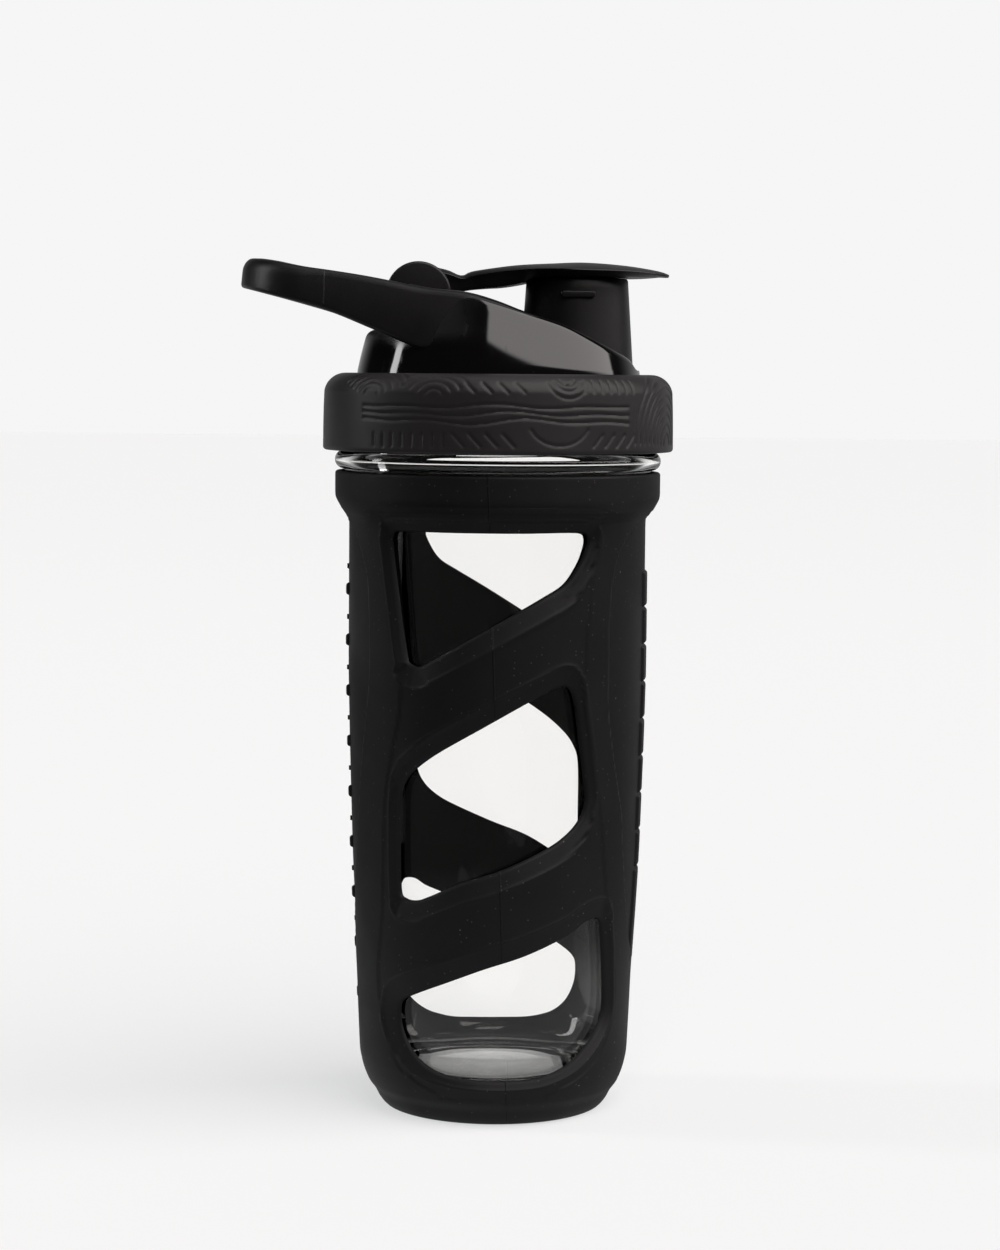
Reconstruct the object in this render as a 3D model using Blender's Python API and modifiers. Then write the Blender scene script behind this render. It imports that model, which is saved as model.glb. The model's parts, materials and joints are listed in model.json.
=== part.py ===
"""Protein shaker bottle: a clear tumbler in a windowed rubber sleeve, under a screw lid with a
carry loop, a drinking spout and a flip cap.

Sizes are in millimetres and become metres where a mesh is made. +Z is up, the origin is the centre
of the sleeve's flat base, the spout is towards +X and the carry loop towards -X.
"""

import math

import bmesh
import bpy
from mathutils import Matrix, Vector

MM = 0.001
SEGMENTS = 48          # facets round a turned piece
FIT_GAP = 0.3          # left between pieces that touch
FAR = 60.0             # half-length of a cutter that has to pass through everything

# Sleeve
SLEEVE_WALL = 2.3
SLEEVE_FLOOR = 2.4
SLEEVE_TOP = 182.8
SLEEVE_BODY = [(169.6, 42.45), (128, 42.45), (72, 41.0), (15, 38.8)]
BLOCK_HEIGHT = 0.9     # how far the moulded grip blocks stand out
BLOCK_PITCH = 10.7

# Tumbler
VESSEL_WALL = 2.6
RIM_Z = 204.4
NECK_RADIUS = 44.6
NECK_BORE = 42.1

# Thread: two starts, right-handed
THREAD_LEAD = 8.0
THREAD_STARTS = 2
THREAD_HEIGHT = 1.1
THREAD_ROOT = 2.8      # width of a ridge at its buried foot
THREAD_CREST = 1.0     # width of a ridge at its top
THREAD_TURN = 0.85     # turns that each ridge runs for
THREAD_PHASE = 0.031   # radians that keep the ridges' facets off the walls' facets

# Lid
SKIRT_RADIUS = 47.9
SKIRT_BORE = 46.1
SKIRT_Z = 189.2
PLATE_UNDER = 206.5
PLATE_TOP = 208.7
PLUG_OUTER = 40.4      # the ring under the lid that holds the strainer
PLUG_BORE = 38.2
PLUG_Z = 196.0
DOME_FOOT = (40.2, 211.4)
DOME_DRAFT = 0.255     # how much the dome's radius shrinks for each millimetre of height
LID_WALL = 2.2
RIM_WIDTH = 4.6
RIM_CURVE = [(-80, 243.4), (-60, 240.9), (-20, 234.0), (0, 230.4), (20, 223.7), (34, 217.3), (38, 214), (44, 206)]
DECK_CURVE = [(-60, 221.8), (-24, 221.8), (-6, 221.6), (8, 219.6), (24, 214.8), (44, 210.9), (60, 210.9)]

# Spout and flip cap
SPOUT_X = 22.2
SPOUT_TOP = 237.6
SPOUT_RADIUS = 14.45
SPOUT_WALL = 1.85
SPOUT_DRAFT = 0.066
HINGE = Vector((-22.7, 0, 232.7))
EAR_RADIUS = 9.2
EAR_INNER = 7.6
EAR_OUTER = 11.6
BARREL_RADIUS = 8.5
PIN_RADIUS = 1.6

# Carry loop
LOOP_TIP_X = -73.1
LOOP_TIP_RADIUS = 24.0
LOOP_BAND = 8.2        # thickness of the band seen from above
LOOP_MIDDLE_Z = 231.0
LOOP_ROOT_X = -19.0    # where the arms end against the dome


def clear_scene():
    for obj in list(bpy.data.objects):
        bpy.data.objects.remove(obj)
    for collection in list(bpy.data.collections):
        bpy.data.collections.remove(collection)


def new_collection(name):
    collection = bpy.data.collections.new(name)
    bpy.context.scene.collection.children.link(collection)
    return collection


def new_material(name, colour, roughness, metallic=0.0, transmission=0.0):
    material = bpy.data.materials.new(name)
    material.use_nodes = True
    shader = material.node_tree.nodes["Principled BSDF"]
    shader.inputs["Base Color"].default_value = (*colour, 1.0)
    shader.inputs["Roughness"].default_value = roughness
    shader.inputs["Metallic"].default_value = metallic
    shader.inputs["Transmission Weight"].default_value = transmission
    return material


def add_object(name, mesh, collection, material=None):
    """Links a mesh given in millimetres as an object in metres."""
    mesh.transform(Matrix.Scale(MM, 4))
    obj = bpy.data.objects.new(name, mesh)
    collection.objects.link(obj)
    if material:
        mesh.materials.append(material)
    if collection.name == "cutters":
        obj.hide_render = True
        obj.display_type = "WIRE"
    return obj


def from_bmesh(name, bm, collection, material=None):
    bmesh.ops.recalc_face_normals(bm, faces=bm.faces)
    mesh = bpy.data.meshes.new(name)
    bm.to_mesh(mesh)
    bm.free()
    return add_object(name, mesh, collection, material)


def turned(name, profile, collection, material=None, segments=SEGMENTS):
    """A solid of revolution. The profile is (radius, height) points. It starts and ends on the axis, running down
    its outer side, or is a ring given in that same sense, which is closed here."""
    ring = profile[0][0] > 0
    mesh = bpy.data.meshes.new(name)
    points = [(radius, 0, height) for radius, height in profile]
    edges = [(i, i + 1) for i in range(len(points) - 1)]
    if ring:
        edges.append((len(points) - 1, 0))
    mesh.from_pydata(points, edges, [])
    obj = add_object(name, mesh, collection, material)
    screw = obj.modifiers.new("turn", "SCREW")
    screw.steps = segments
    screw.render_steps = segments
    screw.use_merge_vertices = True
    screw.merge_threshold = 0.00001
    return obj


def prism(name, outline, axis, low, high, collection, material=None):
    """A flat outline pushed along an axis: outline holds (X, Z) points for axis Y, or (X, Y) points for axis Z."""
    bm = bmesh.new()
    if axis == "Y":
        corners = [bm.verts.new((a, low, b)) for a, b in outline]
        push = Vector((0, high - low, 0))
    else:
        corners = [bm.verts.new((a, b, low)) for a, b in outline]
        push = Vector((0, 0, high - low))
    face = bm.faces.new(corners)
    grown = bmesh.ops.extrude_face_region(bm, geom=[face])
    moved = [item for item in grown["geom"] if isinstance(item, bmesh.types.BMVert)]
    bmesh.ops.translate(bm, verts=moved, vec=push)
    return from_bmesh(name, bm, collection, material)


def loft(name, loops, collection, material=None, closed=False):
    """A solid through loops of equal length. The two end loops are capped unless the loft closes on itself."""
    bm = bmesh.new()
    rows = [[bm.verts.new(point) for point in loop] for loop in loops]
    count = len(rows[0])
    pairs = list(zip(rows, rows[1:]))
    if closed:
        pairs.append((rows[-1], rows[0]))
    for first, second in pairs:
        for i in range(count):
            j = (i + 1) % count
            bm.faces.new((first[i], first[j], second[j], second[i]))
    if not closed:
        bm.faces.new(rows[0])
        bm.faces.new(rows[-1])
    return from_bmesh(name, bm, collection, material)


def box(name, low, high, collection):
    bm = bmesh.new()
    bmesh.ops.create_cube(bm, size=1.0)
    size = Vector(high) - Vector(low)
    centre = (Vector(high) + Vector(low)) / 2
    bmesh.ops.transform(bm, verts=bm.verts, matrix=Matrix.Translation(centre) @ Matrix.Diagonal((*size, 1)))
    return from_bmesh(name, bm, collection)


def rod(name, radius, low, high, centre, collection, material=None, segments=32):
    """A cylinder along Y between two Y values, round a centre given as (X, Z)."""
    bm = bmesh.new()
    bmesh.ops.create_cone(bm, cap_ends=True, segments=segments, radius1=radius, radius2=radius, depth=high - low)
    upright = Matrix.Rotation(math.pi / 2, 4, "X")
    middle = Matrix.Translation((centre[0], (low + high) / 2, centre[1]))
    bmesh.ops.transform(bm, verts=bm.verts, matrix=middle @ upright)
    return from_bmesh(name, bm, collection, material)


def boolean(obj, other, operation="DIFFERENCE"):
    modifier = obj.modifiers.new(operation.lower(), "BOOLEAN")
    modifier.operation = operation
    modifier.object = other
    return obj


def smooth_line(points, steps=6):
    """Catmull-Rom curve through the points."""
    line = []
    padded = [points[0], *points, points[-1]]
    for a, b, c, d in zip(padded, padded[1:], padded[2:], padded[3:]):
        for k in range(steps):
            t = k / steps
            weights = (
                -0.5 * t + t * t - 0.5 * t ** 3,
                1 - 2.5 * t * t + 1.5 * t ** 3,
                0.5 * t + 2 * t * t - 1.5 * t ** 3,
                -0.5 * t * t + 0.5 * t ** 3,
            )
            line.append(tuple(sum(w * p[i] for w, p in zip(weights, (a, b, c, d))) for i in (0, 1)))
    line.append(points[-1])
    return line


def arc(centre, radii, start, end, steps):
    """Points of an ellipse's arc, angles in degrees from the first axis."""
    found = []
    for k in range(steps + 1):
        angle = math.radians(start + (end - start) * k / steps)
        found.append((centre[0] + radii[0] * math.cos(angle), centre[1] + radii[1] * math.sin(angle)))
    return found


def rounded(corners, steps=4):
    """Closed outline through (x, y, radius) corners, each turned into an arc of its radius."""
    outline = []
    for i, (x, y, radius) in enumerate(corners):
        corner = Vector((x, y))
        before = Vector(corners[i - 1][:2]) - corner
        after = Vector(corners[(i + 1) % len(corners)][:2]) - corner
        half = before.angle(after) / 2
        centre = corner + (before.normalized() + after.normalized()).normalized() * radius / math.sin(half)
        first = corner + before.normalized() * radius / math.tan(half) - centre
        last = corner + after.normalized() * radius / math.tan(half) - centre
        for k in range(steps + 1):
            mix = first.lerp(last, k / steps)
            outline.append(tuple(centre + mix.normalized() * radius))
    return outline


def offset_profile(points, amount):
    return [(radius + amount, height) for height, radius in points]


def dome_radius(height):
    return DOME_FOOT[0] - DOME_DRAFT * (height - DOME_FOOT[1])


def vessel_profile():
    """Runs from the middle of the inner floor up the bore, over the rim and down the outside to the foot."""
    outside = offset_profile(SLEEVE_BODY, -SLEEVE_WALL - FIT_GAP)
    bore = [(radius - VESSEL_WALL, height) for radius, height in outside]
    bead = arc((44.4, 185.9), (2.3, 2.7), 80, -80, 4)
    return [
        (0, 11.6), (20, 11.4), (27.5, 11.3), (31, 12.8), (32.6, 15.4), (33.7, 20.0),
        *reversed(bore[:-1]),
        (NECK_BORE - 0.4, 176.8), (NECK_BORE, 178.2), (NECK_BORE, RIM_Z - 0.5), (NECK_BORE + 0.5, RIM_Z),
        (NECK_RADIUS - 0.5, RIM_Z), (NECK_RADIUS, RIM_Z - 0.5), (NECK_RADIUS, 189.2),
        *bead,
        (43.9, 183.1), (43.9, 176.7),
        *outside,
        (35.4, 11.5), (33.9, 9.0), (30.4, 3.5), (29.2, 2.9), (25.5, 2.9), (24.5, 4.0), (0, 4.4),
    ]


def sleeve_profile():
    """Runs from the middle of the inner floor up the inside, over the top edge and down the outside."""
    inside = offset_profile(SLEEVE_BODY, -SLEEVE_WALL)
    outside = offset_profile(SLEEVE_BODY, 0)
    return [
        (0, SLEEVE_FLOOR), (29.4, SLEEVE_FLOOR), (30.8, 3.1), (34.3, 8.7), (35.8, 11.3),
        *reversed(inside),
        (44.2, 176.4), (44.2, SLEEVE_TOP - 0.5), (44.7, SLEEVE_TOP), (46.0, SLEEVE_TOP), (46.5, SLEEVE_TOP - 0.5),
        (46.5, 176.2), (46.2, 175.2),
        *outside,
        (37.9, 11.3), (37.0, 9.0), (32.8, 2.0), (31.5, 0.5), (30.4, 0), (0, 0),
    ]


def window_corners():
    """The three windows of one face, as (degrees from the face's middle, height, corner radius) going round."""
    top = [(-43.5, 167, 2.2), (37.0, 167, 2.6), (31.5, 154.8, 8), (-34.8, 127.6, 3.2)]
    middle = [(29.9, 127.4, 1.8), (37.6, 85.8, 11), (-42.8, 61.9, 3.4), (-42.8, 99.5, 9)]
    bottom = [(-44.5, 33.6, 1.5), (45.2, 58.4, 1.8), (48.6, 13.7, 14), (-44.2, 13.7, 14)]
    return {"top": (top, 41.5), "middle": (middle, 41.3), "bottom": (bottom, 39.5)}


def split_edges(points, longest):
    """Adds points along an outline's long edges, so that a wedge cut through it keeps nearly flat sides."""
    result = []
    for start, end in zip(points, points[1:] + points[:1]):
        parts = max(1, math.ceil(math.dist(start, end) / longest))
        for k in range(parts):
            share = k / parts
            result.append(tuple(a + (b - a) * share for a, b in zip(start, end)))
    return result


def radial_cutter(name, outline, collection, facing=0.0):
    """A wedge whose sides all pass through the axis. The outline is (radians, height); facing 0 looks along -Y.
    Its two flat ends lie well clear of the wall, and two loops just inside and outside the wall keep its cut true."""
    turn = Matrix.Rotation(facing, 3, "Z")
    loops = []
    for flat, radius in ((20.0, None), (None, 34.5), (None, 44.5), (58.0, None)):
        loop = []
        for angle, height in outline:
            depth = flat or radius * math.cos(angle)
            loop.append(turn @ Vector((depth * math.tan(angle), -depth, height)))
        loops.append(loop)
    wedge = loft(name, loops, collection)
    bm = bmesh.new()
    bm.from_mesh(wedge.data)
    bmesh.ops.triangulate(bm, faces=[face for face in bm.faces if len(face.verts) == 4])
    bm.to_mesh(wedge.data)
    bm.free()
    return wedge


def window_cutters(collection):
    cutters = []
    for label, (corners, radius) in window_corners().items():
        flat = [(radius * math.radians(degrees), height, fillet) for degrees, height, fillet in corners]
        outline = [(arc_length / radius, height) for arc_length, height in split_edges(rounded(flat), 5.0)]
        for side, facing in (("front", 0.0), ("back", math.pi)):
            cutters.append(radial_cutter(f"window_{label}_{side}", outline, collection, facing))
    return cutters


def grip_blocks(collection, facing, half_width, spans):
    """Raised blocks on one side of the sleeve: a band just proud of its wall, kept only inside wedges."""
    buried = offset_profile(reversed(SLEEVE_BODY), -1.1)
    band = turned("block_band", buried + offset_profile(SLEEVE_BODY, BLOCK_HEIGHT), collection)
    bm = bmesh.new()
    turn = Matrix.Rotation(facing, 3, "Z")
    for low, high in spans:
        points = []
        for depth in (34.0, 50.0):
            half = depth * math.tan(math.radians(half_width))
            points += [turn @ Vector((x, -depth, z)) for x, z in ((-half, low), (half, low), (half, high), (-half, high))]
        corners = [bm.verts.new(point) for point in points]
        for ids in ((0, 1, 2, 3), (4, 5, 6, 7), (0, 1, 5, 4), (1, 2, 6, 5), (2, 3, 7, 6), (3, 0, 4, 7)):
            bm.faces.new([corners[i] for i in ids])
    wedges = from_bmesh("block_wedges", bm, collection)
    return boolean(band, wedges, "INTERSECT")


def make_vessel(parts, cutters, material):
    vessel = turned("vessel", vessel_profile(), parts, material)
    for start in range(THREAD_STARTS):
        ridge = thread_ridge(f"vessel_thread_{start}", NECK_RADIUS, 1, 194.4, start, cutters)
        boolean(vessel, ridge, "UNION")
    return vessel


def thread_ridge(name, wall_radius, outwards, low, start, collection):
    """One ridge of a thread on a wall, outwards 1 on its outside and -1 in its bore. It fades in and out at its ends."""
    steps = round(SEGMENTS * THREAD_TURN)
    fade = 5
    loops = []
    for k in range(steps + 1):
        share = min(1.0, k / fade, (steps - k) / fade)
        height = 0.15 + (THREAD_HEIGHT - 0.15) * share
        angle = 2 * math.pi * (k / SEGMENTS + start / THREAD_STARTS) + THREAD_PHASE
        middle = low + THREAD_LEAD * k / SEGMENTS
        section = [
            (wall_radius - outwards * 0.6, -THREAD_ROOT / 2),
            (wall_radius + outwards * height, -THREAD_CREST / 2),
            (wall_radius + outwards * height, THREAD_CREST / 2),
            (wall_radius - outwards * 0.6, THREAD_ROOT / 2),
        ]
        loops.append([(r * math.cos(angle), r * math.sin(angle), middle + rise) for r, rise in section])
    return loft(name, loops, collection)


def make_sleeve(parts, cutters, material):
    sleeve = turned("sleeve", sleeve_profile(), parts, material)
    right = [(42.3, 69.0)] + [(69.6 + BLOCK_PITCH * k, 69.6 + BLOCK_PITCH * (k + 1) - 0.6) for k in range(8)]
    left = [(31.0 + 14.6 * k, 34.4 + 14.6 * k) for k in range(9)]
    boolean(sleeve, grip_blocks(cutters, math.radians(85), 11, right), "UNION")
    boolean(sleeve, grip_blocks(cutters, math.radians(-94), 12, left), "UNION")
    for cutter in window_cutters(cutters):
        boolean(sleeve, cutter)
    return sleeve


def above(curve, height=262.0):
    """Outline of everything over a curve in the XZ plane."""
    line = smooth_line(curve)
    return line + [(line[-1][0], height), (line[0][0], height)]


def below(curve, drop, depth=170.0):
    line = [(x, z - drop) for x, z in smooth_line(curve)]
    return line + [(line[-1][0], depth), (line[0][0], depth)]


def make_lid_base(parts, cutters, material):
    """Top plate, threaded skirt and the plug ring that the strainer clips into."""
    shoulder = arc((44.2, 205.0), (3.7, 3.7), 90, 0, 3)
    profile = [
        (PLUG_BORE, PLATE_TOP), *shoulder, (SKIRT_RADIUS, SKIRT_Z), (SKIRT_BORE, SKIRT_Z), (SKIRT_BORE, PLATE_UNDER),
        (PLUG_OUTER, PLATE_UNDER), (PLUG_OUTER, PLUG_Z), (PLUG_BORE, PLUG_Z),
    ]
    base = turned("lid_base", profile, parts, material)
    for start in range(THREAD_STARTS):
        ridge = thread_ridge(f"lid_thread_{start}", SKIRT_BORE, -1, 192.4, start, cutters)
        boolean(base, ridge, "UNION")
    return base


def make_lid_shell(parts, cutters, material):
    """Dome with its dished deck, welded on to the lid's base."""
    high = 240.0
    foot = PLATE_TOP + FIT_GAP
    body = [(0, high), (dome_radius(high), high), DOME_FOOT, (40.5, foot), (0, foot)]
    shell = turned("lid_shell", body, parts, material)

    boolean(shell, prism("cut_over_rim", above(RIM_CURVE), "Y", -FAR, FAR, cutters))

    pocket_top = 250.0
    pocket_foot = 205.0
    pocket = turned(
        "cut_pocket",
        [
            (0, pocket_top), (dome_radius(pocket_top) - RIM_WIDTH, pocket_top),
            (dome_radius(pocket_foot) - RIM_WIDTH, pocket_foot), (0, pocket_foot),
        ],
        cutters,
    )
    boolean(pocket, prism("over_deck", above(DECK_CURVE), "Y", -FAR, FAR, cutters), "INTERSECT")
    boolean(shell, pocket)
    boolean(shell, box("cut_rear_notch", (-FAR, -15.6, DECK_CURVE[0][1]), (-14, 15.6, 255), cutters))

    cavity = turned(
        "cut_cavity",
        [
            (0, high), (dome_radius(high) - LID_WALL, high), (DOME_FOOT[0] - LID_WALL, DOME_FOOT[1]),
            (PLUG_BORE, 209.5), (PLUG_BORE, 200), (0, 200),
        ],
        cutters,
    )
    boolean(cavity, prism("under_deck", below(DECK_CURVE, LID_WALL), "Y", -FAR, FAR, cutters), "INTERSECT")
    boolean(shell, cavity)

    hole = spout_radius(210) + FIT_GAP
    bm = bmesh.new()
    bmesh.ops.create_cone(bm, cap_ends=True, segments=48, radius1=hole, radius2=hole, depth=40)
    bmesh.ops.translate(bm, verts=bm.verts, vec=(SPOUT_X, 0, 229.8))
    return boolean(shell, from_bmesh("cut_spout_hole", bm, cutters))


def make_grip_collar(parts, material):
    shoulder = arc((43.4, 204.0), (6.2, 6.9), 90, 0, 6)
    inner = arc((44.2, 205.0), (4.0, 4.0), 0, 90, 3)
    profile = [
        (41.0, 210.6), (41.3, 210.9), *shoulder, (50.0, 190.4), (49.7, 189.2), (49.1, 188.7), (48.5, 188.8),
        (48.2, 189.2), *inner, (41.0, 209.0),
    ]
    return turned("grip_collar", profile, parts, material)


def spout_radius(height):
    return SPOUT_RADIUS + SPOUT_DRAFT * (SPOUT_TOP - height)


def make_spout(parts, cutters, material):
    """Drinking spout with a short snap rib on each side under the cap."""
    foot = 211.0
    profile = [
        (spout_radius(SPOUT_TOP) - SPOUT_WALL + 0.4, SPOUT_TOP), (spout_radius(SPOUT_TOP) - 0.4, SPOUT_TOP),
        (spout_radius(SPOUT_TOP), SPOUT_TOP - 0.4), (spout_radius(foot), foot),
        (spout_radius(foot) - SPOUT_WALL, foot), (spout_radius(SPOUT_TOP) - SPOUT_WALL, SPOUT_TOP - 0.4),
    ]
    spout = turned("spout", profile, parts, material, segments=40)
    spout.location.x = SPOUT_X * MM
    for side in (-1, 1):
        rib = rod(f"spout_rib_{side}", 1.0, -4.4, 4.4, (0, 0), cutters, segments=12)
        rib.rotation_euler.z = math.pi / 2
        rib.location = (SPOUT_X * MM, side * (spout_radius(233) - 0.15) * MM, 233.0 * MM)
        boolean(spout, rib, "UNION")
    return spout


def make_hinge_ears(parts, cutters, material):
    """Two round ears on a foot plate. The bore is blind on the -Y side, so that the pin goes in from +Y."""
    floor = DECK_CURVE[0][1] + FIT_GAP
    foot_low = (HINGE.x - EAR_RADIUS + 0.4, -EAR_OUTER, floor)
    foot_high = (HINGE.x + EAR_RADIUS - 0.4, EAR_OUTER, floor + 1.2)
    ears = box("hinge_ears", foot_low, foot_high, parts)
    ears.data.materials.append(material)
    for side in (-1, 1):
        low, high = sorted((side * EAR_INNER, side * EAR_OUTER))
        disc = rod(f"ear_disc_{side}", EAR_RADIUS, low, high, (HINGE.x, HINGE.z), cutters, segments=48)
        post = box(f"ear_post_{side}", (HINGE.x - 7.5, low, floor + 0.3), (HINGE.x + 7.5, high, HINGE.z), cutters)
        boolean(ears, post, "UNION")
        boolean(ears, disc, "UNION")
    bore = rod("cut_ear_bore", PIN_RADIUS + 0.1, -EAR_OUTER + 1.0, EAR_OUTER + 5, (HINGE.x, HINGE.z), cutters, segments=24)
    return boolean(ears, bore)


def make_hinge_pin(parts, material):
    return rod("hinge_pin", PIN_RADIUS, -EAR_OUTER + 1.2, EAR_OUTER - 0.1, (HINGE.x, HINGE.z), parts, material, 24)


def cap_side_outline():
    """Side view of the flip cap: a gently arched plate that thickens into the arm."""
    over = [(-18, 240.4), (-14.2, 239.4), (-10.4, 237.9), (-7, 239.3), (6, 241.3), (24, 242.1), (38, 241.1), (48.3, 238.9)]
    under = [(48.3, 238.2), (44, 238.0), (6.2, 238.0), (6.0, 235.9), (-4, 234.6), (-10, 234.0), (-18, 232.0)]
    return smooth_line(over, 4) + under


def cap_plan_outline():
    """Plan of the flip cap: a narrow arm that opens into a rounded cover with a blunt lip."""
    side = smooth_line([(-18, 7.0), (-8, 7.2), (2, 11.5), (12, 17.0), (22, 19.0), (33, 17.2), (42, 12.2), (47.2, 6.0), (48.4, 0)], 4)
    return side + [(x, -y) for x, y in reversed(side[:-1])]


def make_flip_cap(parts, cutters, material):
    cap = prism("flip_cap", cap_side_outline(), "Y", -FAR, FAR, parts, material)
    boolean(cap, prism("cap_plan", cap_plan_outline(), "Z", 200, 260, cutters), "INTERSECT")
    barrel = rod("cap_barrel", BARREL_RADIUS, -EAR_INNER + FIT_GAP, EAR_INNER - FIT_GAP, (HINGE.x, HINGE.z), cutters, segments=48)
    boolean(cap, barrel, "UNION")
    boolean(cap, rod("cut_cap_bore", PIN_RADIUS + 0.1, -20, 20, (HINGE.x, HINGE.z), cutters, segments=24))
    return cap


def make_spout_plug(parts, material):
    """Soft plug pressed into the underside of the cap, a little smaller than the spout's mouth."""
    profile = [
        (0, 237.7), (11.7, 237.7), (12.0, 237.4), (11.9, 234.8), (11.4, 234.1), (10.4, 234.1), (10.0, 236.2), (0, 236.2),
    ]
    plug = turned("spout_plug", profile, parts, material, segments=40)
    plug.location.x = SPOUT_X * MM
    return plug


def make_lid_gasket(parts, material):
    return turned("lid_gasket", [(41.0, 206.2), (45.4, 206.2), (45.7, 205.9), (45.4, 204.7), (41.3, 204.7)], parts, material)


def make_strainer(parts, cutters, material):
    """Mixing grid in a short ring that clips into the lid's plug ring."""
    grid_z = 193.2
    profile = [
        (0, grid_z + 1.6), (35.6, grid_z + 1.6), (36.1, 201.6), (36.5, 202.0), (37.4, 202.0), (37.9, 201.4),
        (37.9, 195.7), (39.9, 195.7), (40.2, 195.3), (40.2, grid_z + 0.3), (39.9, grid_z), (0, grid_z),
    ]
    strainer = turned("strainer", profile, parts, material)
    pitch = 10.6
    hole = 4.3
    bm = bmesh.new()
    for row in range(-4, 5):
        for column in range(-5, 6):
            x = pitch * (column + 0.5 * (row % 2))
            y = pitch * row * math.sqrt(3) / 2
            if math.hypot(x, y) + hole > 34.5:
                continue
            place = Matrix.Translation((x, y, grid_z + 0.8)) @ Matrix.Rotation(math.pi / 6, 4, "Z")
            bmesh.ops.create_cone(bm, cap_ends=True, segments=6, radius1=hole, radius2=hole, depth=6, matrix=place)
    return boolean(strainer, from_bmesh("cut_grid", bm, cutters))


def loop_outline(inset):
    """Plan of the loop: two lines that touch both the dome's circle and the circle round the loop's end."""
    tip_radius = LOOP_TIP_RADIUS - inset
    dome = dome_radius(LOOP_MIDDLE_Z) - inset
    centre = LOOP_TIP_X + LOOP_TIP_RADIUS
    lean = math.acos((dome - tip_radius) / -centre)
    tip = arc((centre, 0), (tip_radius, tip_radius), 180 - math.degrees(lean), 180 + math.degrees(lean), 16)
    touch = (-dome * math.cos(lean), dome * math.sin(lean))
    return [touch, *tip, (touch[0], -touch[1])]


def loop_side_outline():
    """Side view of the loop: flush with the dome's rim above, and a long rising line below."""
    over = [point for point in smooth_line(RIM_CURVE) if -66 < point[0] < 5]
    nose = [(-73.6, 234.0), (-73.0, 238.2), (-71.6, 240.4), (-69, 241.6)]
    under = smooth_line([(5, 207.5), (-19, 216.0), (-36, 222.9), (-48, 227.4), (-61, 231.3), (-73.6, 234.0)], 4)
    return nose + over + under[:-1]


def make_carry_loop(parts, cutters, material):
    """U-shaped loop whose two arms are seated against the dome's wall."""
    loop = prism("carry_loop", loop_outline(0.0), "Z", 205, 250, parts, material)
    boolean(loop, prism("loop_side", loop_side_outline(), "Y", -FAR, FAR, cutters), "INTERSECT")
    boolean(loop, box("cut_loop_root", (LOOP_ROOT_X, -FAR, 190), (FAR, FAR, 260), cutters))
    boolean(loop, prism("cut_finger_gap", loop_outline(LOOP_BAND), "Z", 200, 255, cutters))
    wall = [
        (0, 255), (dome_radius(255) + FIT_GAP, 255), (dome_radius(205) + FIT_GAP, 205), (0, 205),
    ]
    boolean(loop, turned("cut_loop_seat", wall, cutters))
    return loop


def parent_to(name, point, children):
    """Puts an empty on a joint's axis and hangs the pieces on it where they are."""
    empty = bpy.data.objects.new(name, None)
    empty.location = Vector(point) * MM
    bpy.context.scene.collection.objects.link(empty)
    bpy.context.view_layer.update()
    for child in children:
        child.parent = empty
        child.matrix_parent_inverse = empty.matrix_world.inverted()
    return empty


def main():
    clear_scene()
    parts = new_collection("shaker_bottle")
    cutters = new_collection("cutters")
    cutters.hide_render = True

    clear = new_material("clear_glass", (0.93, 0.94, 0.93), 0.03, transmission=1.0)
    rubber = new_material("sleeve_rubber", (0.012, 0.012, 0.013), 0.62)
    soft = new_material("soft_touch", (0.016, 0.015, 0.016), 0.5)
    gloss = new_material("gloss_black", (0.008, 0.007, 0.008), 0.12)
    satin = new_material("satin_black", (0.012, 0.011, 0.012), 0.38)
    seal = new_material("seal_silicone", (0.06, 0.06, 0.062), 0.55)
    steel = new_material("pin_steel", (0.62, 0.61, 0.6), 0.25, metallic=1.0)

    make_vessel(parts, cutters, clear)
    make_sleeve(parts, cutters, rubber)
    lid = [
        make_lid_base(parts, cutters, gloss),
        make_lid_shell(parts, cutters, gloss),
        make_grip_collar(parts, soft),
        make_spout(parts, cutters, satin),
        make_hinge_ears(parts, cutters, satin),
        make_hinge_pin(parts, steel),
        make_carry_loop(parts, cutters, satin),
    ]
    cap = [make_flip_cap(parts, cutters, satin), make_spout_plug(parts, seal)]
    strainer = make_strainer(parts, cutters, satin)
    gasket = make_lid_gasket(parts, seal)

    rise = parent_to("lid_rise_axis", (0, 0, SKIRT_Z), [gasket])
    turn = parent_to("lid_turn_axis", (0, 0, SKIRT_Z), lid)
    hinge = parent_to("cap_hinge_axis", HINGE, cap)
    pull = parent_to("strainer_axis", (0, 0, PLUG_Z), [strainer])
    for child, parent in ((turn, rise), (hinge, turn), (pull, turn)):
        child.parent = parent
        child.matrix_parent_inverse = parent.matrix_world.inverted()


main()
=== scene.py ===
"""Looks of the protein shaker bottle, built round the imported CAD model.

Sizes are millimetres until a mesh is made. Angles round the bottle start at -Y, the side that faces
the camera, and grow towards +X, where the spout is.
"""

import json
import math

import bmesh
import bpy
import numpy as np
from mathutils import Matrix, Vector
from mathutils.geometry import delaunay_2d_cdt


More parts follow.
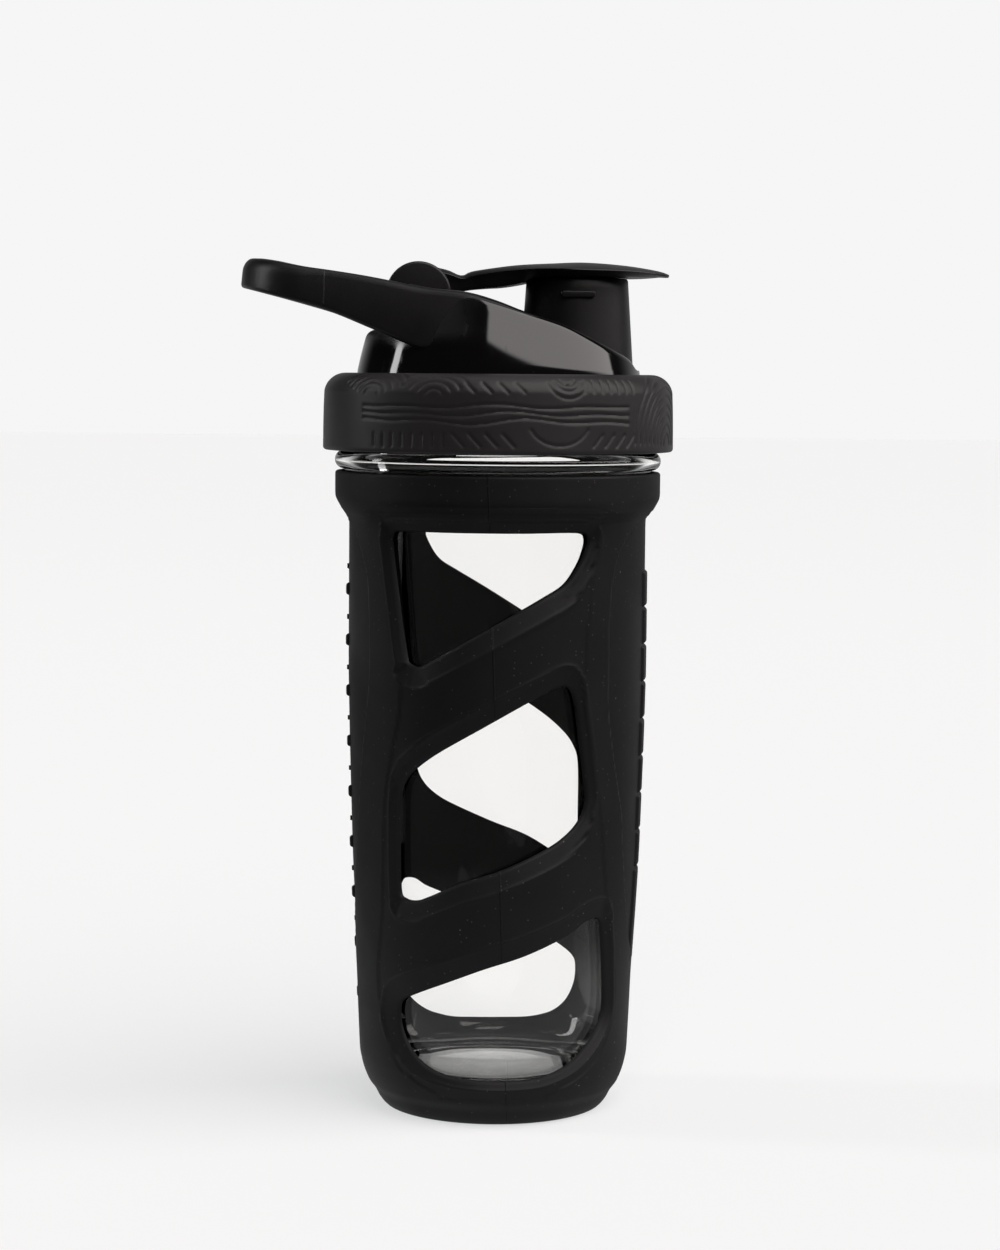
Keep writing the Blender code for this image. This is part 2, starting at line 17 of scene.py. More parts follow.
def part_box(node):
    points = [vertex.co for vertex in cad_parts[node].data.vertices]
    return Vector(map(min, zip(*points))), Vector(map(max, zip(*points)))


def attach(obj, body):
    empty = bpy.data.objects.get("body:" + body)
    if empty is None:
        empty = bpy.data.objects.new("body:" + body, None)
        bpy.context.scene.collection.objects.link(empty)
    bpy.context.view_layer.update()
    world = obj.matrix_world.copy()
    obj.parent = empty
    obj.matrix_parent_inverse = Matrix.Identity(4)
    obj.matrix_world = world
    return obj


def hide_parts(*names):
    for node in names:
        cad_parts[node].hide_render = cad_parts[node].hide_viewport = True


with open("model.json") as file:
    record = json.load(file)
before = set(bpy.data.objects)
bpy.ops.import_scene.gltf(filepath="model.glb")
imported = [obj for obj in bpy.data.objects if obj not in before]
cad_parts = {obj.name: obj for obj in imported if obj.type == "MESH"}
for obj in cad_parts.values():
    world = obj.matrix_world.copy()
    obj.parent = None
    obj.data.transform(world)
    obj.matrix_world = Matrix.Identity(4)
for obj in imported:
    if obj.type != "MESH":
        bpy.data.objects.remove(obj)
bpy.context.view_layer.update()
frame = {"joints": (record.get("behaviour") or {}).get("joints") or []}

MM = 0.001
TAU = 2 * math.pi

# ---------------------------------------------------------------- driving sizes, read from the frame
SLEEVE_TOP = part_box("sleeve")[1].z / MM
COLLAR_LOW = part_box("grip_collar")[0].z / MM
COLLAR_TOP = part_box("grip_collar")[1].z / MM
RIM_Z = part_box("vessel")[1].z / MM
SPOUT_X = (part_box("spout")[0].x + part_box("spout")[1].x) / 2 / MM
SPOUT_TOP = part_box("spout")[1].z / MM
CAP_JOINT = next(joint for joint in frame["joints"] if joint["name"] == "cap_hinge")
HINGE = Vector(CAP_JOINT["pos_m"]) / MM
PIN_RADIUS = 1.6
LOOP_TIP_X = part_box("carry_loop")[0].x / MM - 0.8


# ---------------------------------------------------------------- small maths
def smooth_line(points, steps=8, closed=False):
    """Catmull-Rom curve through points of any dimension, as an array."""
    points = np.array(points, float)
    count = len(points)
    if closed:
        index = [(i - 1, i, i + 1, i + 2) for i in range(count)]
    else:
        index = [(max(i - 1, 0), i, i + 1, min(i + 2, count - 1)) for i in range(count - 1)]
    t = np.linspace(0, 1, steps, endpoint=False)[:, None]
    runs = []
    for quad in index:
        a, b, c, d = (points[i % count] for i in quad)
        bend = a - 2.5 * b + 2 * c - 0.5 * d
        twist = 0.5 * (3 * (b - c) + d - a)
        runs.append(b + 0.5 * t * (c - a) + t ** 2 * bend + t ** 3 * twist)
    if not closed:
        runs.append(points[-1:])
    return np.concatenate(runs)


def offset_outline(outline, distance):
    """A closed outline moved outwards."""
    after = np.roll(outline, -1, axis=0)
    along = after - np.roll(outline, 1, axis=0)
    normal = np.stack([along[:, 1], -along[:, 0]], axis=1)
    normal /= np.linalg.norm(normal, axis=1)[:, None]
    if np.sum(outline[:, 0] * after[:, 1] - after[:, 0] * outline[:, 1]) < 0:
        normal = -normal
    return outline + normal * distance


def around_axis(radius, angle, height):
    """Points at an angle round the bottle, or directions where the height is 0."""
    return np.stack([radius * np.sin(angle), -radius * np.cos(angle), height], axis=1)


def resample(points, spacing, closed=False):
    """The same line with points at even spacing."""
    line = np.vstack([points, points[:1]]) if closed else points
    reach = np.concatenate([[0], np.cumsum(np.linalg.norm(np.diff(line, axis=0), axis=1))])
    count = max(3, round(reach[-1] / spacing))
    at = np.linspace(0, reach[-1], count, endpoint=False) if closed else np.linspace(0, reach[-1], count)
    return np.stack([np.interp(at, reach, line[:, k]) for k in range(line.shape[1])], axis=1)


def ease(value):
    value = np.clip(value, 0, 1)
    return value * value * (3 - 2 * value)


def arc(centre, radius, start, end, steps):
    """Points of a circle's arc, angles in degrees from the first axis."""
    angles = np.radians(np.linspace(start, end, steps + 1))
    return [(centre[0] + radius * math.cos(a), centre[1] + radius * math.sin(a)) for a in angles]


def curve_value(points, at):
    """Height of a smooth curve given as (x, value) points."""
    line = smooth_line(points, 12)
    return np.interp(at, line[:, 0], line[:, 1])


# ---------------------------------------------------------------- meshes
def new_object(name, data):
    obj = bpy.data.objects.new(name, data)
    bpy.context.scene.collection.objects.link(obj)
    return obj


def make_mesh(name, points, faces):
    mesh = bpy.data.meshes.new(name)
    mesh.from_pydata((np.asarray(points, float) * MM).tolist(), [], faces)
    mesh.update()
    return new_object(name, mesh)


def loop_faces(count, rows, closed=False, wrap=True):
    """Quads between rows of equal length, as vertex numbers."""
    across = np.arange(count if wrap else count - 1)
    nxt = (across + 1) % count
    faces = []
    for row in range(rows if closed else rows - 1):
        low = row * count
        high = ((row + 1) % rows) * count
        faces.append(np.stack([low + across, low + nxt, high + nxt, high + across], axis=1))
    return np.concatenate(faces).tolist()


def skin(name, loops, sharp=35):
    """A mesh through loops of equal length, closed at both ends."""
    count = len(loops[0])
    faces = loop_faces(count, len(loops))
    faces.append(list(range(count))[::-1])
    last = (len(loops) - 1) * count
    faces.append([last + i for i in range(count)])
    return outward(make_mesh(name, np.concatenate(loops), faces), sharp)


def outward(obj, sharp):
    """Turns every face to the outside and shades the mesh smooth up to an angle."""
    bm = bmesh.new()
    bm.from_mesh(obj.data)
    bmesh.ops.remove_doubles(bm, verts=bm.verts, dist=0.000001)
    bmesh.ops.recalc_face_normals(bm, faces=bm.faces)
    bm.to_mesh(obj.data)
    bm.free()
    obj.data.shade_smooth()
    obj.data.set_sharp_from_angle(angle=math.radians(sharp))
    return obj


def turned(name, profile, segments=128, sharp=35, centre=(0, 0), ridges=None):
    """A solid of revolution from (radius, height) points: a ring, or a line from the axis back to the axis.

    The ridges are a function of radius, height and angle that gives what is added to the radius.
    """
    profile = np.array(profile, float)
    angle = np.linspace(0, TAU, segments, endpoint=False)
    on_axis = profile[0][0] < 1e-6
    body = profile[1:-1] if on_axis else profile
    loops = []
    for radius, height in body:
        reach = radius + (ridges(radius, height, angle) if ridges else 0)
        loops.append(np.stack([
            centre[0] + reach * np.cos(angle), centre[1] + reach * np.sin(angle), np.full(segments, height)
        ], axis=1))
    points = np.concatenate(loops)
    faces = loop_faces(segments, len(loops), closed=not on_axis)
    if on_axis:
        hub = len(points)
        points = np.vstack([
            points, [centre[0], centre[1], profile[0][1]], [centre[0], centre[1], profile[-1][1]]
        ])
        last = (len(loops) - 1) * segments
        for i in range(segments):
            j = (i + 1) % segments
            faces.append([i, hub, j])
            faces.append([last + i, last + j, hub + 1])
    return outward(make_mesh(name, points, faces), sharp)


def cut(obj, cutter, operation="DIFFERENCE", sharp=35):
    """Boolean with its result applied. The cutter is used up."""
    modifier = obj.modifiers.new("cut", "BOOLEAN")
    modifier.operation = operation
    modifier.solver = "EXACT"
    modifier.object = cutter
    bpy.context.view_layer.update()
    done = bpy.data.meshes.new_from_object(obj.evaluated_get(bpy.context.evaluated_depsgraph_get()))
    obj.modifiers.clear()
    obj.data = done
    bpy.data.objects.remove(cutter)
    done.shade_smooth()
    done.set_sharp_from_angle(angle=math.radians(sharp))
    return obj


def prism_mesh(name, outline, axis, low, high, bevel=0.0, steps=3):
    """A flat outline, given on the other two axes, pushed along an axis with both its edges rounded."""
    outline = np.array(outline, float)
    turns = np.linspace(0, math.pi / 2, steps + 1)
    rows = [(low + bevel * (1 - math.cos(t)), bevel * (1 - math.sin(t))) for t in turns]
    rows += [(low + high - place, inset) for place, inset in rows[::-1]]
    first, second = {"X": (1, 2), "Y": (0, 2), "Z": (0, 1)}[axis]
    loops = []
    for place, inset in rows:
        flat = offset_outline(outline, -inset)
        loop = np.zeros((len(outline), 3))
        loop[:, first] = flat[:, 0]
        loop[:, second] = flat[:, 1]
        loop[:, "XYZ".index(axis)] = place
        loops.append(loop)
    return skin(name, loops)


def place(obj, body, slot, material, *nodes):
    """Gives a piece its material, its body and the CAD nodes it stands for. The slot is not used."""
    obj.data.materials.clear()
    obj.data.materials.append(material)
    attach(obj, body)
    if nodes:
        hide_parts(*nodes)
    return obj


# ---------------------------------------------------------------- materials
class Tree:
    """Short forms for building nodes."""

    def __init__(self, tree):
        self.tree = tree

    def add(self, kind, links=(), **settings):
        node = self.tree.nodes.new(kind)
        for key, value in settings.items():
            if hasattr(node, key):
                setattr(node, key, value)
            else:
                node.inputs[key.replace("_", " ")].default_value = value
        for socket, source in dict(links).items():
            self.tree.links.new(source, node.inputs[socket])
        return node

    def ramp(self, value, low, high, out_low=0.0, out_high=1.0):
        node = self.add("ShaderNodeMapRange", {"Value": value}, interpolation_type="SMOOTHSTEP")
        numbers = {"From Min": low, "From Max": high, "To Min": out_low, "To Max": out_high}
        for socket, number in numbers.items():
            node.inputs[socket].default_value = number
        return node.outputs["Result"]

    def math(self, operation, first, second=None, third=None):
        node = self.add("ShaderNodeMath", operation=operation)
        for socket, value in zip(node.inputs, (first, second, third)):
            if isinstance(value, (int, float)):
                socket.default_value = value
            elif value is not None:
                self.tree.links.new(value, socket)
        return node.outputs["Value"]

    def mix(self, factor, first, second):
        node = self.add("ShaderNodeMix", data_type="RGBA")
        self.tree.links.new(factor, node.inputs["Factor"])
        for name, value in (("A", first), ("B", second)):
            socket = next(s for s in node.inputs if s.name == name and s.type == "RGBA")
            if isinstance(value, tuple):
                socket.default_value = (*value, 1)
            else:
                self.tree.links.new(value, socket)
        return next(s for s in node.outputs if s.type == "RGBA")

    def parts(self, source):
        node = self.add("ShaderNodeSeparateXYZ", {"Vector": source})
        return node.outputs["X"], node.outputs["Y"], node.outputs["Z"]


class Nodes(Tree):
    """Nodes of one material round its Principled shader."""

    def __init__(self, name, colour, roughness, **sockets):
        self.material = bpy.data.materials.new(name)
        self.material.use_nodes = True
        super().__init__(self.material.node_tree)
        self.shader = self.tree.nodes["Principled BSDF"]
        self.colour = colour
        self.shader.inputs["Base Color"].default_value = (*colour, 1)
        self.shader.inputs["Roughness"].default_value = roughness
        for socket, value in sockets.items():
            self.shader.inputs[socket.replace("_", " ")].default_value = value
        coordinates = self.add("ShaderNodeTexCoord")
        self.place = coordinates.outputs["Object"]
        self.facing = coordinates.outputs["Normal"]

    def noise(self, scale, detail=2.0, roughness=0.5, stretch=None):
        source = self.place
        if stretch:
            source = self.add("ShaderNodeMapping", {"Vector": source}, Scale=stretch).outputs["Vector"]
        settings = {"Scale": scale, "Detail": detail, "Roughness": roughness}
        return self.add("ShaderNodeTexNoise", {"Vector": source}, **settings).outputs["Fac"]

    def shades(self, mask, low, high):
        """The base colour, scaled from one factor to another by a mask."""
        first, second = (tuple(part * scale for part in self.colour) for scale in (low, high))
        return self.mix(mask, first, second)

    def link(self, source, socket):
        self.tree.links.new(source, self.shader.inputs[socket])

    def bump(self, height, distance, strength=1.0, base=None):
        links = {"Height": height}
        if base is not None:
            links["Normal"] = base
        node = self.add("ShaderNodeBump", links, Strength=strength, Distance=distance)
        return node.outputs["Normal"]


def dust(nodes, scale, size, amount):
    """Sparse specks of lint: a mask that is 1 on the specks."""
    cells = nodes.add("ShaderNodeTexVoronoi", {"Vector": nodes.place}, Scale=scale, Randomness=1.0)
    speck = nodes.ramp(cells.outputs["Distance"], size * 0.5, size, 1.0, 0.0)
    lottery = nodes.add("ShaderNodeSeparateColor", {"Color": cells.outputs["Color"]})
    return nodes.math("MULTIPLY", speck, nodes.math("LESS_THAN", lottery.outputs["Red"], amount))


SHEEN = 0.3                 # specular level of silicone rubber


def inner_sheen_and_shade(nodes, rubber):
    """The sleeve's inner side lies against the glass, so it loses its sheen; its colour is also darkened to
    near black as painted shade.
    """
    flat = nodes.add("ShaderNodeVectorMath", {0: nodes.place}, operation="MULTIPLY")
    flat.inputs[1].default_value = (1, 1, 0)
    links = {0: nodes.facing, 1: flat.outputs["Vector"]}
    outwards = nodes.add("ShaderNodeVectorMath", links, operation="DOT_PRODUCT").outputs["Value"]
    # painted shade mask: 1 on the faces turned in towards the bottle's axis
    shaded_inner_face = nodes.ramp(outwards, -0.03, -0.012, 1.0, 0.0)
    nodes.link(nodes.math("MULTIPLY_ADD", shaded_inner_face, -SHEEN, SHEEN), "Specular IOR Level")
    # painted shade: on those inner faces the rubber's colour is darkened to near black
    return nodes.mix(shaded_inner_face, rubber, (0.0012, 0.0012, 0.0017))


def silicone(name, colour, roughness, seam=False):
    """Moulded silicone rubber: matt, with soft mottling, lint and, on the sleeve, a mould parting line and
    painted shade on its inner side.
    """
    nodes = Nodes(name, colour, roughness, Specular_IOR_Level=SHEEN)
    rubber = nodes.shades(nodes.noise(90, 4, 0.6), 0.8, 1.25)
    rubber = nodes.mix(dust(nodes, 640, 0.16, 0.35), rubber, (0.06, 0.057, 0.052))
    rubber = nodes.mix(dust(nodes, 210, 0.06, 0.4), rubber, (0.13, 0.125, 0.11))
    # on the sleeve, painted shade darkens the inner faces and their sheen is taken off
    if seam:
        rubber = inner_sheen_and_shade(nodes, rubber)
    nodes.link(rubber, "Base Color")
    nodes.link(nodes.ramp(nodes.noise(35, 3), 0.35, 0.7, roughness - 0.07, roughness + 0.07), "Roughness")
    grain = nodes.bump(nodes.noise(2600, 2), 0.00003)
    if seam:
        x, y, z = nodes.parts(nodes.place)
        middle = nodes.math("ADD", nodes.math("MULTIPLY", z, -0.037), 0.0042)
        away = nodes.math("ABSOLUTE", nodes.math("SUBTRACT", x, middle))
        line = nodes.ramp(away, 0.00008, 0.00032, 1.0, 0.0)
        front = nodes.math("LESS_THAN", y, 0.0)
        grain = nodes.bump(nodes.math("MULTIPLY", line, front), 0.0002, 1.0, grain)
    nodes.link(grain, "Normal")
    return nodes.material


def moulded(name, colour, roughness, spread=0.05, grain=0.00002, fine=3000, seam=None, **sockets):
    """Injection-moulded plastic: a faint cloudiness, patchy gloss and a fine tool texture."""
    nodes = Nodes(name, colour, roughness, **sockets)
    nodes.link(nodes.shades(nodes.noise(60, 3), 0.85, 1.15), "Base Color")
    patches = nodes.noise(25, 4, 0.6)
    nodes.link(nodes.ramp(patches, 0.3, 0.7, roughness - spread, roughness + spread), "Roughness")
    surface = nodes.bump(nodes.noise(fine, 2), grain)
    if seam is not None:
        away = nodes.math("ABSOLUTE", nodes.math("SUBTRACT", nodes.parts(nodes.place)[0], seam))
        surface = nodes.bump(nodes.ramp(away, 0.0001, 0.0003, 1.0, 0.0), 0.00006, 1.0, surface)
    nodes.link(surface, "Normal")
    return nodes.material


def polished(name, colour):
    """Gloss black plastic with hairlines and a slow waviness, satin where the loop's arms run into it."""
    nodes = Nodes(name, colour, 0.07, IOR=1.66)
    hair = nodes.ramp(nodes.noise(700, 2, 0.5, (1.0, 1.0, 0.06)), 0.62, 0.8, 0.055, 0.14)
    x, _, z = nodes.parts(nodes.place)
    wander = nodes.math("MULTIPLY_ADD", nodes.noise(120, 2), 0.004, x)
    arm = nodes.math("MULTIPLY", nodes.ramp(wander, -0.012, 0.0, 1.0, 0.0), nodes.ramp(z, 0.216, 0.2225))
    nodes.link(nodes.math("MULTIPLY_ADD", arm, 0.33, hair), "Roughness")
    specks = dust(nodes, 420, 0.10, 0.04)
    nodes.link(nodes.mix(specks, colour, (0.03, 0.03, 0.03)), "Base Color")
    nodes.link(nodes.bump(nodes.noise(22, 1), 0.0003), "Normal")
    return nodes.material


def clear_glass(name):
    nodes = Nodes(name, (1.0, 0.998, 0.989), 0.0, Transmission_Weight=1.0, IOR=1.5)
    smear = nodes.noise(30, 4, 0.6, (1, 1, 0.3))
    nodes.link(nodes.ramp(smear, 0.6, 0.8, 0.0, 0.05), "Roughness")
    nodes.link(nodes.bump(nodes.noise(14, 1), 0.0002), "Normal")
    return nodes.material


def drawn_steel(name):
    nodes = Nodes(name, (0.62, 0.61, 0.6), 0.25, Metallic=1.0)
    lines = nodes.noise(1500, 2, 0.6, (1, 0.02, 1))
    nodes.link(nodes.ramp(lines, 0.3, 0.7, 0.2, 0.4), "Roughness")
    nodes.link(nodes.bump(lines, 0.00001), "Normal")
    return nodes.material


SLEEVE_RUBBER = silicone("sleeve_rubber", (0.0068, 0.0068, 0.0079), 0.56, seam=True)
SEAL_RUBBER = silicone("seal_silicone", (0.06, 0.06, 0.062), 0.5)
SOFT_TOUCH = moulded("soft_touch", (0.0300, 0.0278, 0.0292), 0.42, 0.05, Specular_IOR_Level=0.36)
SATIN = moulded("satin_black", (0.0068, 0.0060, 0.0064), 0.36, 0.05)
LOOP_SATIN = moulded("loop_satin", (0.0068, 0.0060, 0.0064), 0.36, 0.05, seam=-0.0487)
GLOSS = polished("gloss_black", (0.0055, 0.005, 0.0052))
GLASS = clear_glass("clear_glass")
STEEL = drawn_steel("pin_steel")


# ---------------------------------------------------------------- sleeve
SLEEVE_WALL = 2.3
FACE_RADIUS = 41.6          # radius at which window outlines are laid out flat
SIDE = [
    (0.9, 32.2), (2.4, 33.3), (5.0, 34.6), (7.6, 35.9), (10.4, 37.0), (13.4, 37.75), (16, 38.15),
    (21, 38.4), (29, 38.75), (40, 39.2), (58.5, 40.3), (72.5, 41.0), (88, 41.5), (105, 42.0), (119, 42.3),
    (128, 42.45), (150, 42.45), (166, 42.45), (169.4, 42.5),
]
FLARE = [(169.4, 42.5), (170.4, 42.9), (174.6, 45.9), (175.8, 46.4), (177.2, 46.5)]
COLLAR_BAND = 46.5          # radius of the sleeve's thick upper band
COLUMNS = 336
ROW_STEP = 0.8
PATCH_COLUMNS = 64          # columns either side of a face's middle that the window patch takes
PATCH_REACH = PATCH_COLUMNS * TAU / COLUMNS * FACE_RADIUS
PATCH_LOW = 7.2
PATCH_HIGH = 172.0
RINGS = [0.12, 0.3, 0.55, 0.95, 1.5, 2.2, 2.9, 3.6, 4.3, 5.0, 5.7, 6.4, 7.1]
LIP_RADIUS = 0.8
BEVEL_DEPTH = 1.5
CREASE_PROUD = 0.2
FRAME_PROUD = 0.6
FIELD_SUNK = 0.32
PANEL_RISE = [(110, 0), (120, 0), (140, 0.4), (155, 1.0), (165, 1.6), (170, 2.0), (172, 1.6), (178, 1.6)]
BACK_LIFT = 2.6             # how much higher the windows sit on the back

# Windows: outline as (X, height) seen from the front, and bevel widths above, below, left and right
WINDOWS = [
    (
        [(-26.2, 166.9), (-12, 167.0), (6, 167.0), (21.8, 167.0), (24.6, 165.4), (23.9, 161.4),
         (22.1, 157.4), (18.7, 152.8), (13.2, 149.4), (4.6, 144.6), (-7.4, 137.7), (-18.6, 131.2),
         (-21.6, 129.7), (-24.0, 130.2), (-25.2, 132.6), (-27.0, 148), (-28.4, 162.6), (-28.3, 165.7)],
        (3.8, 6.4, 2.2, 2.8),
    ),
    (
        [(17.4, 124.2), (9.8, 120.6), (-3, 113.6), (-15.4, 106.4), (-22.2, 101.3), (-25.4, 97.4),
         (-26.9, 92.6), (-27.1, 80), (-26.8, 66.4), (-25.3, 64.1), (-22.2, 63.9), (-18.6, 65.4),
         (-10.0, 69.6), (0.9, 73.3), (12.2, 78.1), (18.9, 81.8), (23.6, 86.3), (25.8, 92.0), (24.9, 101),
         (23.4, 112), (22.0, 121.0), (20.3, 124.2)],
        (6.0, 6.0, 2.4, 2.6),
    ),
    (
        [(28.8, 58.0), (25.8, 57.2), (21.6, 54.4), (9.6, 49.4), (-3.2, 45.3), (-15.2, 40.4),
         (-22.6, 36.9), (-26.0, 34.6), (-26.9, 32.0), (-26.4, 26.8), (-23.6, 21.0), (-18.8, 16.8),
         (-12.1, 14.5), (-3.4, 13.8), (6.2, 13.8), (14.8, 14.6), (22.8, 18.0), (28.8, 24.0), (31.6, 30.8),
         (31.7, 41), (30.9, 54.2), (30.2, 57.3)],
        (6.0, 2.6, 6.4, 2.4),
    ),
]
# Creases of one face: half-angle in degrees of the frame's outer edge, and X of the window field's edge
FRAME_LEFT = [(42, 90), (46, 84), (58, 79), (75.6, 70.8), (95.5, 65.2), (105.6, 61.9), (119, 57.7),
              (129, 55.8), (149, 56.2), (157, 58.4), (164.5, 65.5), (168, 76), (170, 90)]
FRAME_RIGHT = [(42, 90), (46, 80), (50, 73), (61, 66), (77, 60.8), (87, 58.8), (96, 54.6), (106, 50.8),
               (116, 48), (129, 46.9), (142, 46.9), (151, 47.8), (158, 49.8), (163, 53.5), (168, 62),
               (171, 76), (172.5, 90)]
FIELD_LEFT = [(9, -15), (13, -23), (17, -27.4), (28, -31.2), (42, -32.6), (60, -31.4), (90, -30.8),
              (107, -28.4), (120, -26.4), (145, -26.8), (160, -28.6), (170.5, -30.2)]
FIELD_RIGHT = [(9, 15), (13, 24), (18, 29.5), (28, 33.4), (42, 34.0), (61, 31.8), (75, 30.6), (98, 28.4),
               (112, 26.2), (124, 24.6), (137, 24.9), (149, 25.6), (160, 26.8), (170.5, 28.2)]


def side_radius(height):
    line = smooth_line(SIDE, 10)
    upper = smooth_line(FLARE, 10)
    return np.where(
        height < FLARE[0][0],
        np.interp(height, line[:, 0], line[:, 1]),
        np.interp(height, upper[:, 0], upper[:, 1]),
    )


def flat_outline(points):
    """Outline on a face's flat layout, going round, evenly spaced."""
    line = smooth_line(points, 8, closed=True)
    line[:, 0] = FACE_RADIUS * np.arcsin(line[:, 0] / (side_radius(line[:, 1]) - 0.6))
    return resample(line, 0.9, closed=True)


OUTLINES = [flat_outline(points) for points, _ in WINDOWS]


def outline_distance(points, outline):
    """Signed distance to a closed outline, negative inside, and the direction from its nearest point."""
    starts = outline
    ends = np.roll(outline, -1, axis=0)
    run = ends - starts
    length = np.sum(run * run, axis=1)
    best = np.full(len(points), 1e9)
    away = np.zeros_like(points)
    inside = np.zeros(len(points), bool)
    for a, b, d, size in zip(starts, ends, run, length):
        share = np.clip(((points - a) @ d) / size, 0, 1)
        gap = points - (a + share[:, None] * d)
        far = np.sum(gap * gap, axis=1)
        nearer = far < best
        best[nearer] = far[nearer]
        away[nearer] = gap[nearer]
        spans = (a[1] > points[:, 1]) != (b[1] > points[:, 1])
        if spans.any():
            crossing = a[0] + (points[:, 1] - a[1]) / (b[1] - a[1] + 1e-12) * d[0]
            inside ^= spans & (points[:, 0] < crossing)
    distance = np.sqrt(best)
    away = away / (distance[:, None] + 1e-9)
    return np.where(inside, -distance, distance), away


def sleeve_relief(flat, height):
    """How far the sleeve's face stands off its side radius, on one face's flat layout."""
    relief = np.zeros(len(flat))
    angle = flat / FACE_RADIUS
    edge = np.where(
        flat < 0,
        curve_value(FRAME_LEFT, height),
        curve_value(FRAME_RIGHT, height),
    )
    inside = (np.radians(edge) - np.abs(angle)) * FACE_RADIUS
    rise = curve_value(PANEL_RISE, height) * ease((1.3 - np.abs(angle)) / 0.45)
    relief += (FRAME_PROUD + rise) * ease(inside / (0.7 + 1.6 * rise) + 0.5)
    shape = (side_radius(height) + 0.4) * np.sin(np.clip(angle, -1.5, 1.5))
    field = np.minimum(shape - curve_value(FIELD_LEFT, height), curve_value(FIELD_RIGHT, height) - shape)
    field = np.minimum(field, np.minimum(height - 8.0, (171.0 - height) * 0.3))
    relief -= FIELD_SUNK * ease(field / 0.9 + 0.5)
    points = np.stack([flat, height], axis=1)
    for outline, (_, widths) in zip(OUTLINES, WINDOWS):
        near = (np.abs(height - outline[:, 1].mean()) < 40) & (np.abs(flat) < 44)
        if not near.any():
            continue
        distance, away = outline_distance(points[near], outline)
        above, below, left, right = widths
        share = away ** 2
        width = share[:, 0] * np.where(away[:, 0] < 0, left, right)
        width += share[:, 1] * np.where(away[:, 1] > 0, above, below)
        slope = np.clip(1 - distance / width, 0, 1)
        sunk = BEVEL_DEPTH * slope - CREASE_PROUD * np.exp(-((distance - width) / 0.6) ** 2)
        lip = np.clip(LIP_RADIUS - distance, 0, LIP_RADIUS)
        sunk += LIP_RADIUS - np.sqrt(LIP_RADIUS ** 2 - lip ** 2)
        relief[near] -= sunk
    return relief


def window_lift(flat, height):
    """How far a point of the front's layout moves up on the back. The layout's border stays in place."""
    inside = ease((PATCH_REACH - np.abs(flat)) / 7)
    inside *= ease((height - PATCH_LOW) / 6) * ease((PATCH_HIGH - height) / 9)
    corner = ease((flat - 4) / 12) * ease((height - 104) / 12) * ease((134 - height) / 8)
    return BACK_LIFT * inside * (1 - 1.2 * corner)


def fold_face(angle):
    """Angle measured from the middle of the nearer face, front or back."""
    return (angle + math.pi / 2) % math.pi - math.pi / 2


def relief_fade(height):
    """The relief dies out above and below the face, where the sleeve is round."""
    left = (COLLAR_BAND - side_radius(height)) / (COLLAR_BAND - side_radius(np.array(PATCH_HIGH)))
    return np.clip(left, 0, 1) * ease((height - 4.1) / 3.1)


def sleeve_outer(angle, height):
    flat = fold_face(angle) * FACE_RADIUS
    return side_radius(height) + relief_fade(height) * sleeve_relief(flat, height)


def outer_normals(angle, height):
    """Normals of the relief surface from its slopes."""
    step = 0.12
    turn = step / FACE_RADIUS
    across = (sleeve_outer(angle + turn, height) - sleeve_outer(angle - turn, height)) / (2 * turn)
    up = (sleeve_outer(angle, height + step) - sleeve_outer(angle, height - step)) / (2 * step)
    radius = sleeve_outer(angle, height)
    outwards = around_axis(1.0, angle, np.zeros(len(angle)))
    sideways = np.stack([np.cos(angle), np.sin(angle), np.zeros(len(angle))], axis=1)
    normal = outwards - sideways * (across / radius)[:, None]
    normal[:, 2] -= up
    return normal / np.linalg.norm(normal, axis=1)[:, None]


def window_patch(column_step, rows, rings, boundary):
    """Triangles of one face round its windows, laid out flat, and each window's first loop in order."""
    columns = np.linspace(-PATCH_REACH, PATCH_REACH, round(2 * PATCH_COLUMNS / column_step) + 1)
    grid = np.array([(x, z) for z in rows for x in columns])
    on_edge = np.abs(np.abs(grid[:, 0]) - PATCH_REACH) < 1e-6
    on_edge |= (grid[:, 1] <= rows[0] + 1e-6) | (grid[:, 1] >= rows[-1] - 1e-6)
    keep = np.ones(len(grid), bool)
    for outline in OUTLINES:
        distance, _ = outline_distance(grid, outline)
        keep &= distance > rings[-1] + 0.45
    points = [grid[keep | on_edge]]
    loops = []
    count = len(points[0])
    edges = []
    for outline in OUTLINES:
        first = offset_outline(outline, boundary)
        loops.append(list(range(count, count + len(first))))
        edges += [(count + i, count + (i + 1) % len(first)) for i in range(len(first))]
        points.append(first)
        count += len(first)
        for ring in rings:
            line = resample(offset_outline(outline, ring), 0.95 if ring < 3 else 1.05, closed=True)
            points.append(line)
            count += len(line)
    flat = np.concatenate(points)
    result = delaunay_2d_cdt([Vector(p) for p in flat], edges, [], 0, 1e-6)
    spots = np.array([tuple(v) for v in result[0]])
    order = {}
    for new, old in enumerate(result[3]):
        for original in old:
            order[original] = new
    triangles = np.array(result[2])
    middles = spots[triangles].mean(axis=1)
    outside = np.ones(len(triangles), bool)
    for outline in OUTLINES:
        distance, _ = outline_distance(middles, offset_outline(outline, boundary))
        outside &= distance > 0
    return spots, triangles[outside], [[order[i] for i in loop] for loop in loops]


def sleeve_inner_radius(height):
    return side_radius(np.minimum(height, 166.0)) - SLEEVE_WALL


